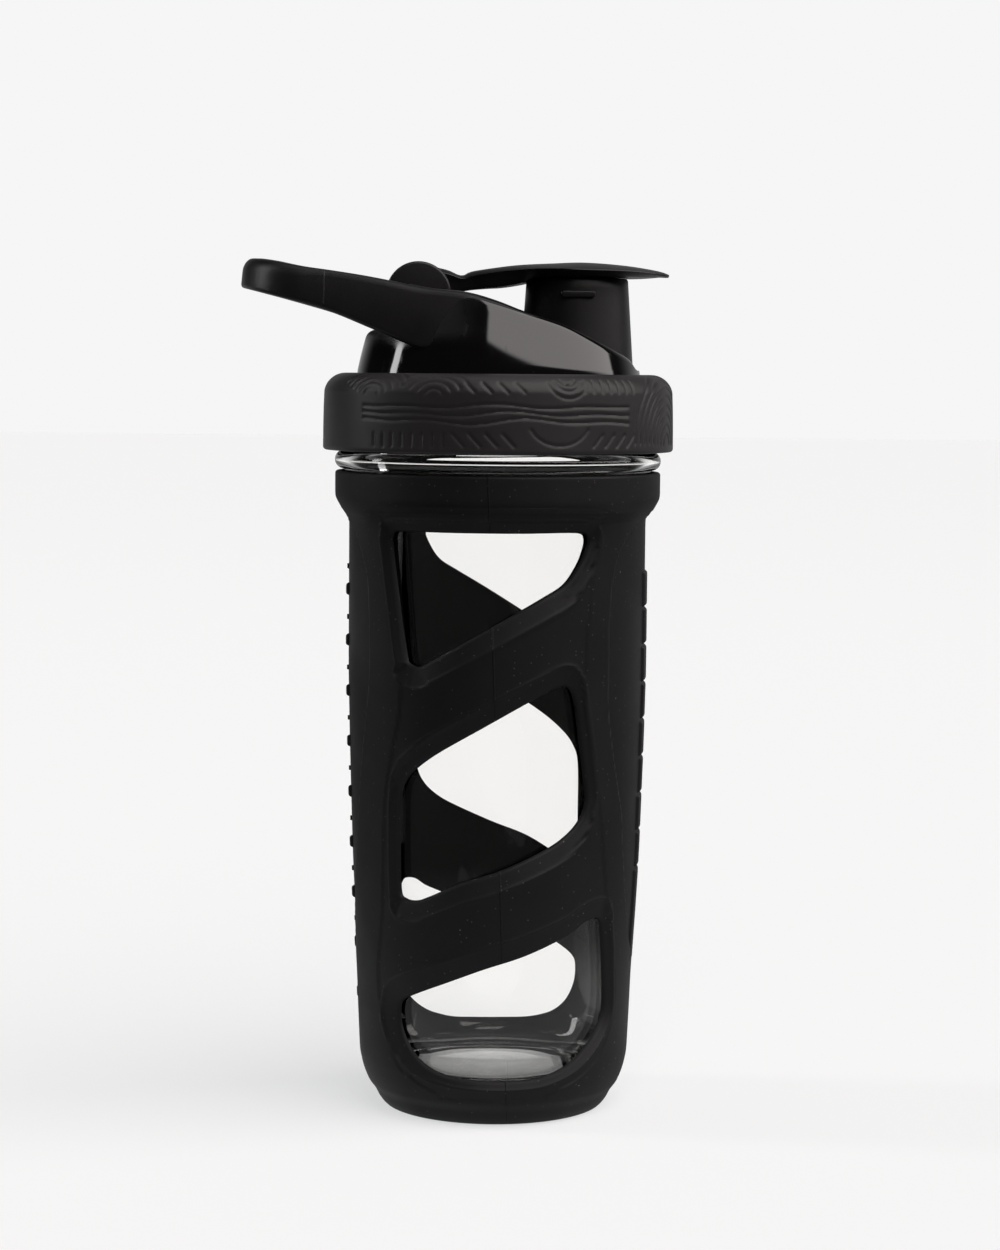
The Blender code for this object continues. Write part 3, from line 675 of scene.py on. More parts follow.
def build_sleeve():
    """Outer skin, window walls, inner skin, rim and base, welded into one closed mesh."""
    points = []
    normals = []
    faces = []
    total = 0

    def add(spots, shapes, facing):
        nonlocal total
        points.append(spots)
        normals.append(facing)
        faces.extend([[i + total for i in shape] for shape in shapes])
        total += len(spots)
        return total - len(spots)

    fine_rows = np.linspace(PATCH_LOW, PATCH_HIGH, round((PATCH_HIGH - PATCH_LOW) / ROW_STEP) + 1)
    patch, triangles, loops = window_patch(1, fine_rows, RINGS, 0.0)
    inner_rows = fine_rows[::4]
    if inner_rows[-1] != fine_rows[-1]:
        inner_rows = np.append(inner_rows, fine_rows[-1])
    inner, inner_triangles, inner_loops = window_patch(4, inner_rows, [1.0, 2.6], 0.25)
    for face in (0, 1):
        turn = face * math.pi
        angle = patch[:, 0] / FACE_RADIUS + turn
        height = patch[:, 1] + face * window_lift(patch[:, 0], patch[:, 1])
        radius = side_radius(height) + sleeve_relief(patch[:, 0], patch[:, 1])
        facing = outer_normals(angle, patch[:, 1])
        outer_at = add(around_axis(radius, angle, height), triangles.tolist(), facing)
        inside_angle = inner[:, 0] / FACE_RADIUS + turn
        inside_height = inner[:, 1] + face * window_lift(inner[:, 0], inner[:, 1])
        inward = around_axis(-1.0, inside_angle, np.zeros(len(inner)))
        inner_at = add(
            around_axis(sleeve_inner_radius(inside_height), inside_angle, inside_height),
            inner_triangles[:, ::-1].tolist(),
            inward,
        )
        for outline, loop, inner_loop in zip(OUTLINES, loops, inner_loops):
            around = offset_outline(outline, 1.0) - outline
            wall_angle = outline[:, 0] / FACE_RADIUS + turn
            sideways = np.stack([
                -around[:, 0] * np.cos(wall_angle), -around[:, 0] * np.sin(wall_angle), -around[:, 1]
            ], axis=1)
            wall_height = outline[:, 1] + face * window_lift(outline[:, 0], outline[:, 1])
            high = side_radius(wall_height) + sleeve_relief(outline[:, 0], outline[:, 1])
            low = sleeve_inner_radius(wall_height) + 0.25
            rows = [around_axis(radius, wall_angle, wall_height) for radius in (high, low)]
            wall_at = add(np.concatenate(rows), [], np.concatenate([sideways, sideways]))
            size = len(loop)
            rings = [
                [outer_at + i for i in loop],
                [wall_at + i for i in range(size)],
                [wall_at + size + i for i in range(size)],
                [inner_at + i for i in inner_loop],
            ]
            for upper, lower in zip(rings, rings[1:]):
                for i in range(size):
                    j = (i + 1) % size
                    faces.append([upper[i], upper[j], lower[j], lower[i]])
    for skip_step, rows, inside in ((1, fine_rows, False), (4, inner_rows, True)):
        for face in (0, 1):
            first = PATCH_COLUMNS + face * COLUMNS // 2
            last = COLUMNS // 2 - PATCH_COLUMNS + face * COLUMNS // 2
            angle = np.arange(first, last + 1, skip_step) * TAU / COLUMNS
            at, up = (grid.ravel() for grid in np.meshgrid(angle, rows))
            shapes = loop_faces(len(angle), len(rows), wrap=False)
            if inside:
                inward = around_axis(-1.0, at, np.zeros(len(up)))
                add(around_axis(sleeve_inner_radius(up), at, up), [shape[::-1] for shape in shapes], inward)
            else:
                add(around_axis(sleeve_outer(at, up), at, up), shapes, outer_normals(at, up))
    whole = np.arange(COLUMNS) * TAU / COLUMNS
    coarse = np.arange(0, COLUMNS, 4) * TAU / COLUMNS

    def add_band(heights):
        """Full rows of the relief surface, above and below the faces."""
        at, up = (grid.ravel() for grid in np.meshgrid(whole, heights))
        spots = around_axis(sleeve_outer(at, up), at, up)
        add(spots, loop_faces(COLUMNS, len(heights)), outer_normals(at, up))

    def add_rows(profile, angles):
        """Plain round rows through a profile of (radius, height)."""
        slopes = np.gradient(np.array(profile), axis=0)
        slopes /= np.linalg.norm(slopes, axis=1)[:, None]
        spots = []
        facing = []
        for (radius, height), (run, rise) in zip(profile, slopes):
            spots.append(around_axis(radius, angles, np.full(len(angles), height)))
            facing.append(around_axis(rise, angles, np.full(len(angles), -run)))
        add(np.concatenate(spots), loop_faces(len(angles), len(profile)), np.concatenate(facing))

    add_band(np.linspace(PATCH_HIGH, 177.2, 9))
    add_band(np.linspace(1.5, PATCH_LOW, 8))
    rim = [(COLLAR_BAND, z) for z in (177.2, 178.4, 180.0, 181.4)]
    rim += arc((COLLAR_BAND - 0.8, SLEEVE_TOP - 0.8), 0.8, 0, 90, 5)
    rim += arc((45.1, SLEEVE_TOP - 0.6), 0.6, 90, 180, 4)
    add_rows(rim, whole)
    inner_rim = [(44.5, SLEEVE_TOP - 0.6), (44.5, 179), (44.3, 176.6), (42.2, 173.6), (40.15, PATCH_HIGH)]
    add_rows(inner_rim, coarse)
    base = [(r, 0.0) for r in (0.6, 6, 14, 22, 28, 30.4)] + [(31.5, 0.25), (32.2, 0.9)]
    add_rows(base + [(float(side_radius(np.array(1.5))), 1.5)], whole)
    inner_foot = float(sleeve_inner_radius(np.array(PATCH_LOW)))
    add_rows([(inner_foot, PATCH_LOW), (31.2, 4.0), (29.6, 2.6), (20, 2.4), (0.6, 2.4)], coarse)

    spots = np.concatenate(points)
    mesh = bpy.data.meshes.new("sleeve_skin")
    mesh.from_pydata((spots * MM).tolist(), [], faces)
    bm = bmesh.new()
    bm.from_mesh(mesh)
    layer = bm.verts.layers.float_vector.new("facing")
    for vert, facing in zip(bm.verts, np.concatenate(normals).tolist()):
        vert[layer] = facing
    bmesh.ops.remove_doubles(bm, verts=bm.verts, dist=0.00002)
    bm.to_mesh(mesh)
    bm.free()
    mesh.update()
    mesh.shade_smooth()
    facing = np.zeros(len(mesh.vertices) * 3)
    mesh.attributes["facing"].data.foreach_get("vector", facing)
    mesh.normals_split_custom_set_from_vertices(facing.reshape(-1, 3).tolist())
    mesh.attributes.remove(mesh.attributes["facing"])
    return new_object("sleeve_skin", mesh)


place(build_sleeve(), "bottle", "sleeve_rubber", SLEEVE_RUBBER, "sleeve")


# ---------------------------------------------------------------- sleeve blocks and ribs
BLOCK_PITCH = 10.7
RIB_PITCH = 14.6


def face_block(angle, half_width, low, high, proud, slant=0.0):
    """A raised block that follows the sleeve: rows and columns crowd at its rounded edges."""
    inset = np.array([-0.35, 0.0, 0.12, 0.3, 0.55, 0.9])
    drop = np.array([1.0, 0.72, 0.42, 0.2, 0.05, 0.0])

    def stations(reach):
        inner = np.linspace(-reach + 1.4, reach - 1.4, 5)
        return np.concatenate([-reach + inset, inner, (reach - inset)[::-1]])

    across = stations(half_width)
    up = stations((high - low) / 2)
    falls = np.concatenate([drop, np.zeros(5), drop[::-1]])
    turn = angle + across / FACE_RADIUS
    front = []
    back = []
    for rise, row_fall in zip(up, falls):
        height = (high + low) / 2 + rise + slant * across
        base = side_radius(height)
        depth = np.maximum(row_fall, falls)
        front.append(around_axis(base + proud - depth * (proud + 0.35), turn, height))
        back.append(around_axis(base - 0.9, turn, height))
    rows, columns = len(up), len(across)
    total = rows * columns
    sheet = np.array(loop_faces(columns, rows, wrap=False))
    faces = sheet.tolist() + (sheet[:, ::-1] + total).tolist()
    border = list(range(columns)) + [(row + 1) * columns - 1 for row in range(1, rows)]
    border += [total - 1 - i for i in range(1, columns)] + [row * columns for row in range(rows - 2, 0, -1)]
    for first, second in zip(border, border[1:] + border[:1]):
        faces.append([second, first, first + total, second + total])
    return np.concatenate(front + back), faces


def build_blocks():
    """Grip strip on the spout's side, a column of blocks, and short ribs on the loop's side."""
    strip = math.radians(86)
    ribs = math.radians(-94)
    specs = [(strip, 6.6, 42.2, 69.2, 0.7, 0.0)]
    for k in range(8):
        low = 69.9 + BLOCK_PITCH * k
        specs.append((strip, 6.6 if k % 2 else 5.6, low, low + BLOCK_PITCH - 0.7, 0.7, 0.0))
    for k in range(9):
        low = 29.6 + RIB_PITCH * k
        specs.append((ribs, 8.6, low, low + 3.5, 0.85, 0.12))
        specs.append((ribs, 5.2, low + 7.7, low + 9.2, 0.5, 0.12))
    points = []
    faces = []
    total = 0
    for spec in specs:
        spots, shapes = face_block(*spec)
        points.append(spots)
        faces += (np.array(shapes) + total).tolist()
        total += len(spots)
    return outward(make_mesh("sleeve_blocks", np.concatenate(points), faces), 50)


place(build_blocks(), "bottle", "sleeve_rubber", SLEEVE_RUBBER)


# ---------------------------------------------------------------- tumbler
THREAD_LEAD = 8.0
THREAD_STARTS = 2
THREAD_TURN = 0.85
THREAD_HEIGHT = 1.1
GLASS_WALL = 2.6
GLASS_GAP = 0.3
NECK_RADIUS = 44.6
NECK_BORE = 42.1


def thread_relief(angle, height, low):
    """Height of the thread ridges over their wall, for ridges whose middle starts at a height."""
    relief = np.zeros(len(angle))
    for start in range(THREAD_STARTS):
        for turn in (0, 1):
            travel = (angle / TAU - start / THREAD_STARTS) % 1 + turn
            middle = low + THREAD_LEAD * travel
            along = np.clip(np.minimum(travel, THREAD_TURN - travel) / 0.07, 0, 1)
            shape = np.clip((1.25 - np.abs(height - middle)) / 0.8, 0, 1)
            relief = np.maximum(relief, THREAD_HEIGHT * ease(shape) * ease(along))
    return relief


def glass_profile():
    heights = np.linspace(12, 166, 40)
    outside = [(float(side_radius(z)) - SLEEVE_WALL - GLASS_GAP, z) for z in heights]
    inside = [(radius - GLASS_WALL, z) for radius, z in outside if z > 17.5]
    shoulder_out = [(39.85, 169.0), (40.1, 171.0), (41.6, 173.6), (43.2, 175.6), (43.85, 177.2),
                    (43.9, 179)]
    shoulder_in = [(37.3, 169.4), (38.0, 171.6), (39.8, 174.2), (41.4, 176.4), (42.0, 177.8),
                   (NECK_BORE, 179.4)]
    bead = arc((44.35, 185.95), 2.2, 100, -100, 12)
    bead = [(44.3 + (r - 44.35) * 1.05, 185.95 + (z - 185.95) * 1.16) for r, z in bead]
    neck = [(NECK_RADIUS, z) for z in np.linspace(RIM_Z - 0.9, 190.0, 30)]
    heel_in = [(0.5, 11.9), (12, 11.7), (21, 11.4), (26.5, 11.5), (29.6, 12.6), (31.5, 14.6), inside[0]]
    heel_in = smooth_line(heel_in, 5).tolist()
    heel_out = smooth_line([outside[0], (33.5, 9.2), (32.0, 6.2), (30.6, 3.9), (29.4, 3.0)], 5).tolist()
    foot = arc((27.4, 3.9), 1.2, -90, -180, 4)
    return (
        [(0, 11.9)] + heel_in[:-1] + inside + shoulder_in
        + [(NECK_BORE, z) for z in (184, 190, 196, 202)]
        + arc((NECK_BORE + 0.9, RIM_Z - 0.9), 0.9, 180, 90, 5)
        + arc((NECK_RADIUS - 0.9, RIM_Z - 0.9), 0.9, 90, 0, 5)[:-1]
        + neck + [(NECK_RADIUS, 189.2)] + bead + [(43.9, 183.0)] + shoulder_out[::-1]
        + outside[::-1] + heel_out[1:] + foot + [(25.8, 4.6), (20, 5.0), (8, 5.2), (0.5, 5.25), (0, 5.25)]
    )


def neck_thread(radius, height, angle):
    """The thread's ridges, only on the outside of the neck."""
    if abs(radius - NECK_RADIUS) > 1e-6 or not 189.5 < height < RIM_Z - 0.8:
        return 0
    return thread_relief(angle, height, 194.4)


def build_tumbler():
    return turned("tumbler", glass_profile(), 192, 60, ridges=neck_thread)


place(build_tumbler(), "bottle", "clear_glass", GLASS, "vessel")


# ---------------------------------------------------------------- lid shell
DOME_FOOT = (40.2, 211.4)
DOME_DRAFT = 0.205          # how much the dome's radius shrinks for each millimetre of height at its foot
DOME_BULGE = 0.0045         # how much more it shrinks for each millimetre higher up
RIM_CURVE = [(-80, 243.6), (-66.5, 241.9), (-57.2, 240.3), (-40.2, 237.7), (-30.5, 235.9), (-20.4, 233.9),
             (-9.8, 232.8), (-0.7, 230.5), (6.8, 227.9), (13.1, 226.1), (18.7, 224.3), (25.0, 221.4),
             (32.8, 217.7), (36.8, 215.6), (39.0, 213.0), (46, 205)]
DECK_CURVE = [(-60, 221.8), (-24, 221.8), (-6, 221.6), (8, 219.6), (24, 214.8), (34, 212.4), (60, 210.9)]
RIM_WIDTH = 4.6
LID_WALL = 2.2
PLUG_OUTER = 40.4
PLUG_BORE = 38.2
PLUG_LOW = 196.0
PLATE_UNDER = 206.5
SKIRT_RADIUS = 47.9
SKIRT_BORE = 46.1
SKIRT_LOW = 189.2
NOTCH_HALF = 14.4


def dome_radius(height):
    rise = height - DOME_FOOT[1]
    return DOME_FOOT[0] - DOME_DRAFT * rise - DOME_BULGE * rise * np.abs(rise)


def rim_height(angle):
    """Height of the dome's rim in a direction measured from +X. The rim is low behind the hinge."""
    height = np.full(len(angle), 226.0)
    for _ in range(14):
        height = curve_value(RIM_CURVE, dome_radius(height) * np.cos(angle))
    side = np.abs(dome_radius(height) * np.sin(angle))
    notch = ease((NOTCH_HALF + 3.4 - side) / 3.4) * (np.cos(angle) < 0)
    return height * (1 - notch) + notch * (DECK_CURVE[0][1] + 0.9)


def build_lid_shell():
    """Dome, deck, skirt and plug ring in one skin, from the deck's middle round to its underside."""
    segments = 240
    angle = np.linspace(0, TAU, segments, endpoint=False)
    cos, sin = np.cos(angle), np.sin(angle)
    top = rim_height(angle)
    edge = dome_radius(top)

    def loop(radius, height):
        radius = np.broadcast_to(radius, (segments,))
        height = np.broadcast_to(height, (segments,))
        return np.stack([radius * cos, radius * sin, height], axis=1)

    def deck(radius):
        return curve_value(DECK_CURVE, radius * cos)

    loops = []
    pocket = edge - RIM_WIDTH
    for share in (0.03, 0.15, 0.3, 0.45, 0.6, 0.72, 0.82, 0.9):
        loops.append(loop(pocket * share, deck(pocket * share)))
    fillet = np.minimum(2.0, np.maximum(0.3, (top - deck(pocket)) * 0.45))
    for t in (0, 25, 50, 70, 90):
        turn = math.radians(t)
        spot = pocket - fillet * (1 - math.sin(turn))
        loops.append(loop(spot, deck(pocket) + fillet * (1 - math.cos(turn))))
    inner = np.minimum(1.3, np.maximum(0.2, (top - deck(pocket)) * 0.45))
    for t in (0, 30, 60, 90):
        turn = math.radians(t)
        spot = pocket + inner * (1 - math.cos(turn))
        loops.append(loop(spot, top + 0.12 - inner * (1 - math.sin(turn))))
    round_over = 2.1
    for t in (90, 72, 54, 36, 18, 0):
        turn = math.radians(t)
        low = np.maximum(top - round_over * (1 - math.sin(turn)), DOME_FOOT[1] + 0.3)
        loops.append(loop(dome_radius(low) - round_over * (1 - math.cos(turn)), low))
    wall_top = np.maximum(top - round_over, DOME_FOOT[1] + 0.3)
    for share in np.linspace(0.1, 1, 9):
        height = wall_top + (DOME_FOOT[1] - wall_top) * share
        loops.append(loop(dome_radius(height), height))
    skirt = [(40.5, 208.9), (44.2, 208.7), *arc((44.2, 205.0), 3.7, 70, 0, 4)]
    skirt += [(SKIRT_RADIUS, SKIRT_LOW + 0.4), (SKIRT_RADIUS - 0.4, SKIRT_LOW),
              (SKIRT_BORE + 0.4, SKIRT_LOW)]
    loops += [loop(radius, height) for radius, height in skirt]
    for height in np.linspace(SKIRT_LOW + 0.4, PLATE_UNDER - 2.0, 32):
        loops.append(loop(SKIRT_BORE - thread_relief(angle, height, 192.4), height))
    plug_ring = [
        (SKIRT_BORE - 0.5, PLATE_UNDER), (PLUG_OUTER + 0.4, PLATE_UNDER), (PLUG_OUTER, PLATE_UNDER - 0.4),
        (PLUG_OUTER, PLUG_LOW + 0.4), (PLUG_OUTER - 0.4, PLUG_LOW), (PLUG_BORE + 0.4, PLUG_LOW),
        (PLUG_BORE, PLUG_LOW + 0.4), (PLUG_BORE, 209.5),
    ]
    loops += [loop(radius, height) for radius, height in plug_ring]
    ceiling = edge - RIM_WIDTH - 1.0
    under_rim = np.minimum(DOME_FOOT[0] - LID_WALL, 38.0)
    loops.append(loop(under_rim, np.maximum(209.6, np.minimum(deck(ceiling) - LID_WALL, 211.4))))
    for share in (1.0, 0.9, 0.75, 0.6, 0.45, 0.3, 0.15, 0.03):
        loops.append(loop(ceiling * share, deck(ceiling * share) - LID_WALL))
    points = np.concatenate(loops)
    faces = loop_faces(segments, len(loops))
    faces.append(list(range(segments)))
    last = (len(loops) - 1) * segments
    faces.append([last + i for i in range(segments)])
    shell = outward(make_mesh("lid_dome", points, faces), 40)
    hole = turned("spout_hole", [(0, 250), (16.1, 250), (16.1, 195), (0, 195)], 96, centre=(SPOUT_X, 0))
    return cut(shell, hole, sharp=40)


place(build_lid_shell(), "lid", "gloss_black", GLOSS, "lid_shell", "lid_base")


# ---------------------------------------------------------------- grip collar
COLLAR_COLUMNS = 760
GROOVE_DEPTH = 0.34
GROOVE_HALF = 0.62
FACE_SPAN = math.pi * 50.0


def oval(s, up, across, rise, start, end, count):
    """Part of an oval on the collar's face."""
    return [(s + across * math.cos(a), up + rise * math.sin(a)) for a in np.linspace(start, end, count)]


def pattern_lines():
    """Moulded grooves of half the collar, as polylines of (distance round, distance up the outside)."""
    lines = []
    for k in range(8):
        s = -37.5 + 3.2 * k
        lines.append([(s, 3.0), (s, 6.4)])
    for k in range(4):
        s = -11.0 + 4.6 * k
        lines.append([(s - 1.6, 6.6), (s + 1.6, 3.2)])
        lines.append([(s + 2.0, 20.6), (s + 4.6, 17.8)])
    for k in range(4):
        s = 29.0 + 4.0 * k
        lines.append([(s - 1.4, 3.2), (s + 1.4, 6.4)])
    for k in range(7):
        s = 25.0 + 2.9 * k
        lines.append([(s, 18.0), (s, 21.6)])
    lines.append(oval(17.3, 10.6, 9.0, 7.2, -2.75, -0.39, 12))
    for radius in (2.4, 4.4, 6.4):
        lines.append(oval(20.0, 22.6, radius, radius, -2.8, -0.35, 12))
    for middle, rings in ((-39.0, 5), (-18.0, 4)):
        for k in range(rings):
            radius = 2.2 + 2.1 * k
            lines.append(oval(middle, 16.6, radius * 1.25, radius, 0.35, 2.8, 14))
    for k in range(8):
        radius = 2.6 + 2.35 * k
        lines.append(oval(62.0, 3.4, radius, radius * 1.12, 0.02, math.pi - 0.02, 26))
    run = np.linspace(-42, 40, 60)
    for row in range(3):
        wave = (1.0 - 0.15 * row) * np.sin(run / 5.2 + 0.9 * row) * np.cos(run / 19.0)
        lines.append(np.stack([run, 10.0 + 2.0 * row + wave], axis=1))
    return lines


def collar_relief(around, up):
    """Depth of the grooves at points given as distance round and distance up."""
    depth = np.zeros(len(around))
    centred = (around + FACE_SPAN / 2) % FACE_SPAN - FACE_SPAN / 2
    for line in pattern_lines():
        line = resample(np.array(line, float), 0.8) if len(line) > 2 else np.array(line, float)
        low = line.min(axis=0) - 1
        high = line.max(axis=0) + 1
        for shift in (-FACE_SPAN, 0, FACE_SPAN):
            place_s = centred + shift
            near = (place_s > low[0]) & (place_s < high[0]) & (up > low[1]) & (up < high[1])
            if not near.any():
                continue
            spots = np.stack([place_s[near], up[near]], axis=1)
            best = np.full(len(spots), 9.0)
            for a, b in zip(line, line[1:]):
                run = b - a
                share = np.clip(((spots - a) @ run) / (run @ run + 1e-9), 0, 1)
                best = np.minimum(best, np.linalg.norm(spots - (a + share[:, None] * run), axis=1))
            depth[near] = np.maximum(depth[near], GROOVE_DEPTH * ease(1 - best / GROOVE_HALF))
    return depth


def build_collar():
    outside = np.array(
        [(48.6, COLLAR_LOW), (49.3, COLLAR_LOW)] + arc((49.2, COLLAR_LOW + 0.8), 0.8, -70, 0, 3)
        + [(49.95, 196.0), (49.85, 201.0)] + arc((43.6, 204.3), 6.2, 12, 90, 9)
        + [(42.4, COLLAR_TOP - 0.4), (41.6, COLLAR_TOP - 0.4)]
    )
    outside = resample(outside, 0.42)
    reach = np.concatenate([[0], np.cumsum(np.linalg.norm(np.diff(outside, axis=0), axis=1))])
    slope = np.gradient(outside, axis=0)
    slope /= np.linalg.norm(slope, axis=1)[:, None]
    facing = np.stack([slope[:, 1], -slope[:, 0]], axis=1)
    angle = np.linspace(0, TAU, COLLAR_COLUMNS, endpoint=False)
    around = np.tile(angle * 50.0, len(outside))
    up = np.repeat(reach, COLLAR_COLUMNS)
    depth = collar_relief(around, up).reshape(len(outside), COLLAR_COLUMNS)
    loops = []
    for (radius, height), (push_out, push_up), dip in zip(outside, facing, depth):
        loops.append(around_axis(radius - dip * push_out, angle, height - dip * push_up))
    inside = [(41.0, COLLAR_TOP - 0.7), (40.9, 209.5), (41.1, 209.1), (43.6, 209.1)]
    inside += arc((44.2, 205.0), 4.0, 80, 0, 5) + [(48.2, 192.0), (48.3, COLLAR_LOW + 0.5)]
    for radius, height in inside:
        loops.append(around_axis(radius, angle, np.full(COLLAR_COLUMNS, height)))
    faces = loop_faces(COLLAR_COLUMNS, len(loops), closed=True)
    return outward(make_mesh("collar_grip", np.concatenate(loops), faces), 55)


place(build_collar(), "lid", "soft_touch", SOFT_TOUCH, "grip_collar")


# ---------------------------------------------------------------- carry loop
LOOP_TIP_RADIUS = 24.0
LOOP_BAND = 8.2
LOOP_MIDDLE_Z = 231.0
LOOP_UNDER = [(-74, 234.0), (-73.0, 234.0), (-61.2, 231.2), (-47.8, 227.5), (-36.0, 222.9),
              (-23.4, 217.7), (-19.6, 216.7), (-16.5, 218.0), (-13.4, 220.8), (-10.0, 224.2),
              (-5.5, 227.4), (4, 229.2)]
LOOP_ROOT = 1.0             # where the arms have sunk into the dome


def loop_stations():
    """Outer edge of the loop in plan, from the near arm's root round the tip to the far arm's root."""
    dome = dome_radius(LOOP_MIDDLE_Z) - 0.06
    centre = LOOP_TIP_X + LOOP_TIP_RADIUS
    lean = math.degrees(math.acos((dome - LOOP_TIP_RADIUS) / -centre))
    tip = arc((centre, 0), LOOP_TIP_RADIUS, 180 + lean, 180 - lean, 40)
    root = math.degrees(math.acos(LOOP_ROOT / dome))
    near = arc((0, 0), dome, -root, -180 + lean, 12)
    far = arc((0, 0), dome, 180 - lean, root, 12)
    return resample(np.array(near + tip + far), 1.3)


def build_loop():
    line = loop_stations()
    along = np.gradient(line, axis=0)
    along /= np.linalg.norm(along, axis=1)[:, None]
    inward = np.stack([along[:, 1], -along[:, 0]], axis=1)
    if inward[len(line) // 2][0] < 0:
        inward = -inward
    loops = []
    for (x, y), (in_x, in_y) in zip(line, inward):
        tip = float(ease((-x - 46) / 20))
        root = float(ease((x + 20) / 20))
        top = float(curve_value(RIM_CURVE, x)) - 0.25 * tip
        under = min(float(curve_value(LOOP_UNDER, x)), top - 4.0)
        draft = DOME_DRAFT * (1 - tip) + 0.10 * tip
        outer_top = 1.9 + 1.7 * tip
        inner_top = 1.7
        outer_low = 1.9 - 0.7 * tip
        inner_low = 2.0
        shape = arc((outer_low, under + outer_low), outer_low, 180, 270, 5)
        shape += arc((LOOP_BAND - inner_low, under + inner_low), inner_low, 270, 360, 5)
        shape += arc((LOOP_BAND - inner_top, top - inner_top), inner_top, 0, 90, 5)
        shape += arc((outer_top, top - outer_top), outer_top, 90, 180, 7)
        section = []
        for depth, height in shape:
            share = 1 - depth / LOOP_BAND
            rise = height - LOOP_MIDDLE_Z
            depth += draft * rise * share - 0.10 * rise * (1 - share) + 0.35 * root ** 3
            section.append((x + in_x * depth, y + in_y * depth, height))
        loops.append(np.array(section))
    return skin("loop_handle", loops, 50)


place(build_loop(), "lid", "satin_black", LOOP_SATIN, "carry_loop")


# ---------------------------------------------------------------- spout
SPOUT_RADIUS = 14.45
SPOUT_DRAFT = 0.066
SPOUT_WALL = 1.85


def spout_radius(height):
    return SPOUT_RADIUS + SPOUT_DRAFT * (SPOUT_TOP - height)


def build_spout():
    foot = 211.0
    outer = [(spout_radius(z), z) for z in np.linspace(SPOUT_TOP - 0.7, foot, 12)]
    inner = [(spout_radius(z) - SPOUT_WALL, z) for z in np.linspace(foot, SPOUT_TOP - 0.7, 8)]
    lip = arc((spout_radius(SPOUT_TOP) - 0.7, SPOUT_TOP - 0.7), 0.7, 80, 10, 4)
    inner_lip = arc((spout_radius(SPOUT_TOP) - SPOUT_WALL + 0.7, SPOUT_TOP - 0.7), 0.7, 170, 100, 4)
    tube = turned("spout_tube", inner_lip + lip + outer + inner, 128, 40, (SPOUT_X, 0))
    for side in (-1, 1):
        outline = arc((3.9, 0), 1.0, -90, 90, 8) + arc((-3.9, 0), 1.0, 90, 270, 8)
        shift = side * (spout_radius(233) - 0.9)
        low, high = sorted((shift, shift + side * 1.75))
        rib = prism_mesh("rib", [(SPOUT_X + x, 233.0 + z) for x, z in outline], "Y", low, high, 0.45, 3)
        tube = cut(tube, rib, "UNION", 40)
    return tube


place(build_spout(), "lid", "satin_black", SATIN, "spout")


# ---------------------------------------------------------------- hinge
EAR_RADIUS = 9.2
EAR_INNER = 7.6
EAR_OUTER = 11.6
BARREL_RADIUS = 8.5


def bar(name, radius, low, high, bevel=0.0, sides=48):
    """A round bar along the hinge's axis."""
    circle = arc((HINGE.x, HINGE.z), radius, 0, 360 - 360 / sides, sides - 1)
    return prism_mesh(name, circle, "Y", low, high, bevel)


def build_ears():
    floor = DECK_CURVE[0][1] + 0.3
    near_x, far_x = HINGE.x - 8.8, HINGE.x + 8.8
    foot = [(near_x, -EAR_OUTER), (far_x, -EAR_OUTER), (far_x, EAR_OUTER), (near_x, EAR_OUTER)]
    ears = prism_mesh("ear_pair", foot, "Z", floor, floor + 1.2, 0.2, 2)
    for side in (-1, 1):
        outline = arc((HINGE.x, HINGE.z), EAR_RADIUS, -4, 184, 48)
        outline += [(HINGE.x - EAR_RADIUS + 0.2, floor + 0.25),
                    (HINGE.x + EAR_RADIUS - 0.2, floor + 0.25)]
        low, high = sorted((side * EAR_INNER, side * EAR_OUTER))
        ears = cut(ears, prism_mesh("ear", outline, "Y", low, high, 0.7, 4), "UNION", 40)
    return cut(ears, bar("bore", PIN_RADIUS + 0.1, -EAR_OUTER + 1.0, EAR_OUTER + 4), sharp=40)


def build_pin():
    return bar("pin_rod", PIN_RADIUS, -EAR_OUTER + 1.2, EAR_OUTER - 0.1, 0.3)


place(build_ears(), "lid", "satin_black", SATIN, "hinge_ears")
place(build_pin(), "lid", "pin_steel", STEEL, "hinge_pin")

# ---------------------------------------------------------------- flip cap
CAP_WIDTH = [(-19, 6.9), (-9, 7.0), (-4, 8.2), (2, 11.0), (8, 14.2), (15, 17.4), (22, 19.0), (33, 17.4),
             (41, 12.9), (46, 7.6), (48.1, 3.0)]
CAP_TOP = [(-19, 240.8), (-14.4, 239.7), (-12.0, 238.6), (-10.2, 238.35), (-7.8, 239.45), (-0.7, 240.6),
           (6.1, 241.4), (15.2, 241.9), (24.3, 242.2), (35.7, 241.4), (44.9, 240.0), (48.3, 238.95)]
CAP_EDGE = [(-19, 239.6), (-14.4, 238.6), (-10.2, 237.3), (-7.8, 238.1), (0, 239.3), (8, 239.9),
            (15, 240.0), (24, 239.8), (38, 239.5), (48.4, 238.7)]
CAP_UNDER = [(-19, 232.0), (-10, 234.0), (-4, 234.7), (1, 235.1), (7.6, 236.3), (12, 237.7), (24, 237.95),
             (38, 237.95), (43, 238.1), (48.4, 238.5)]


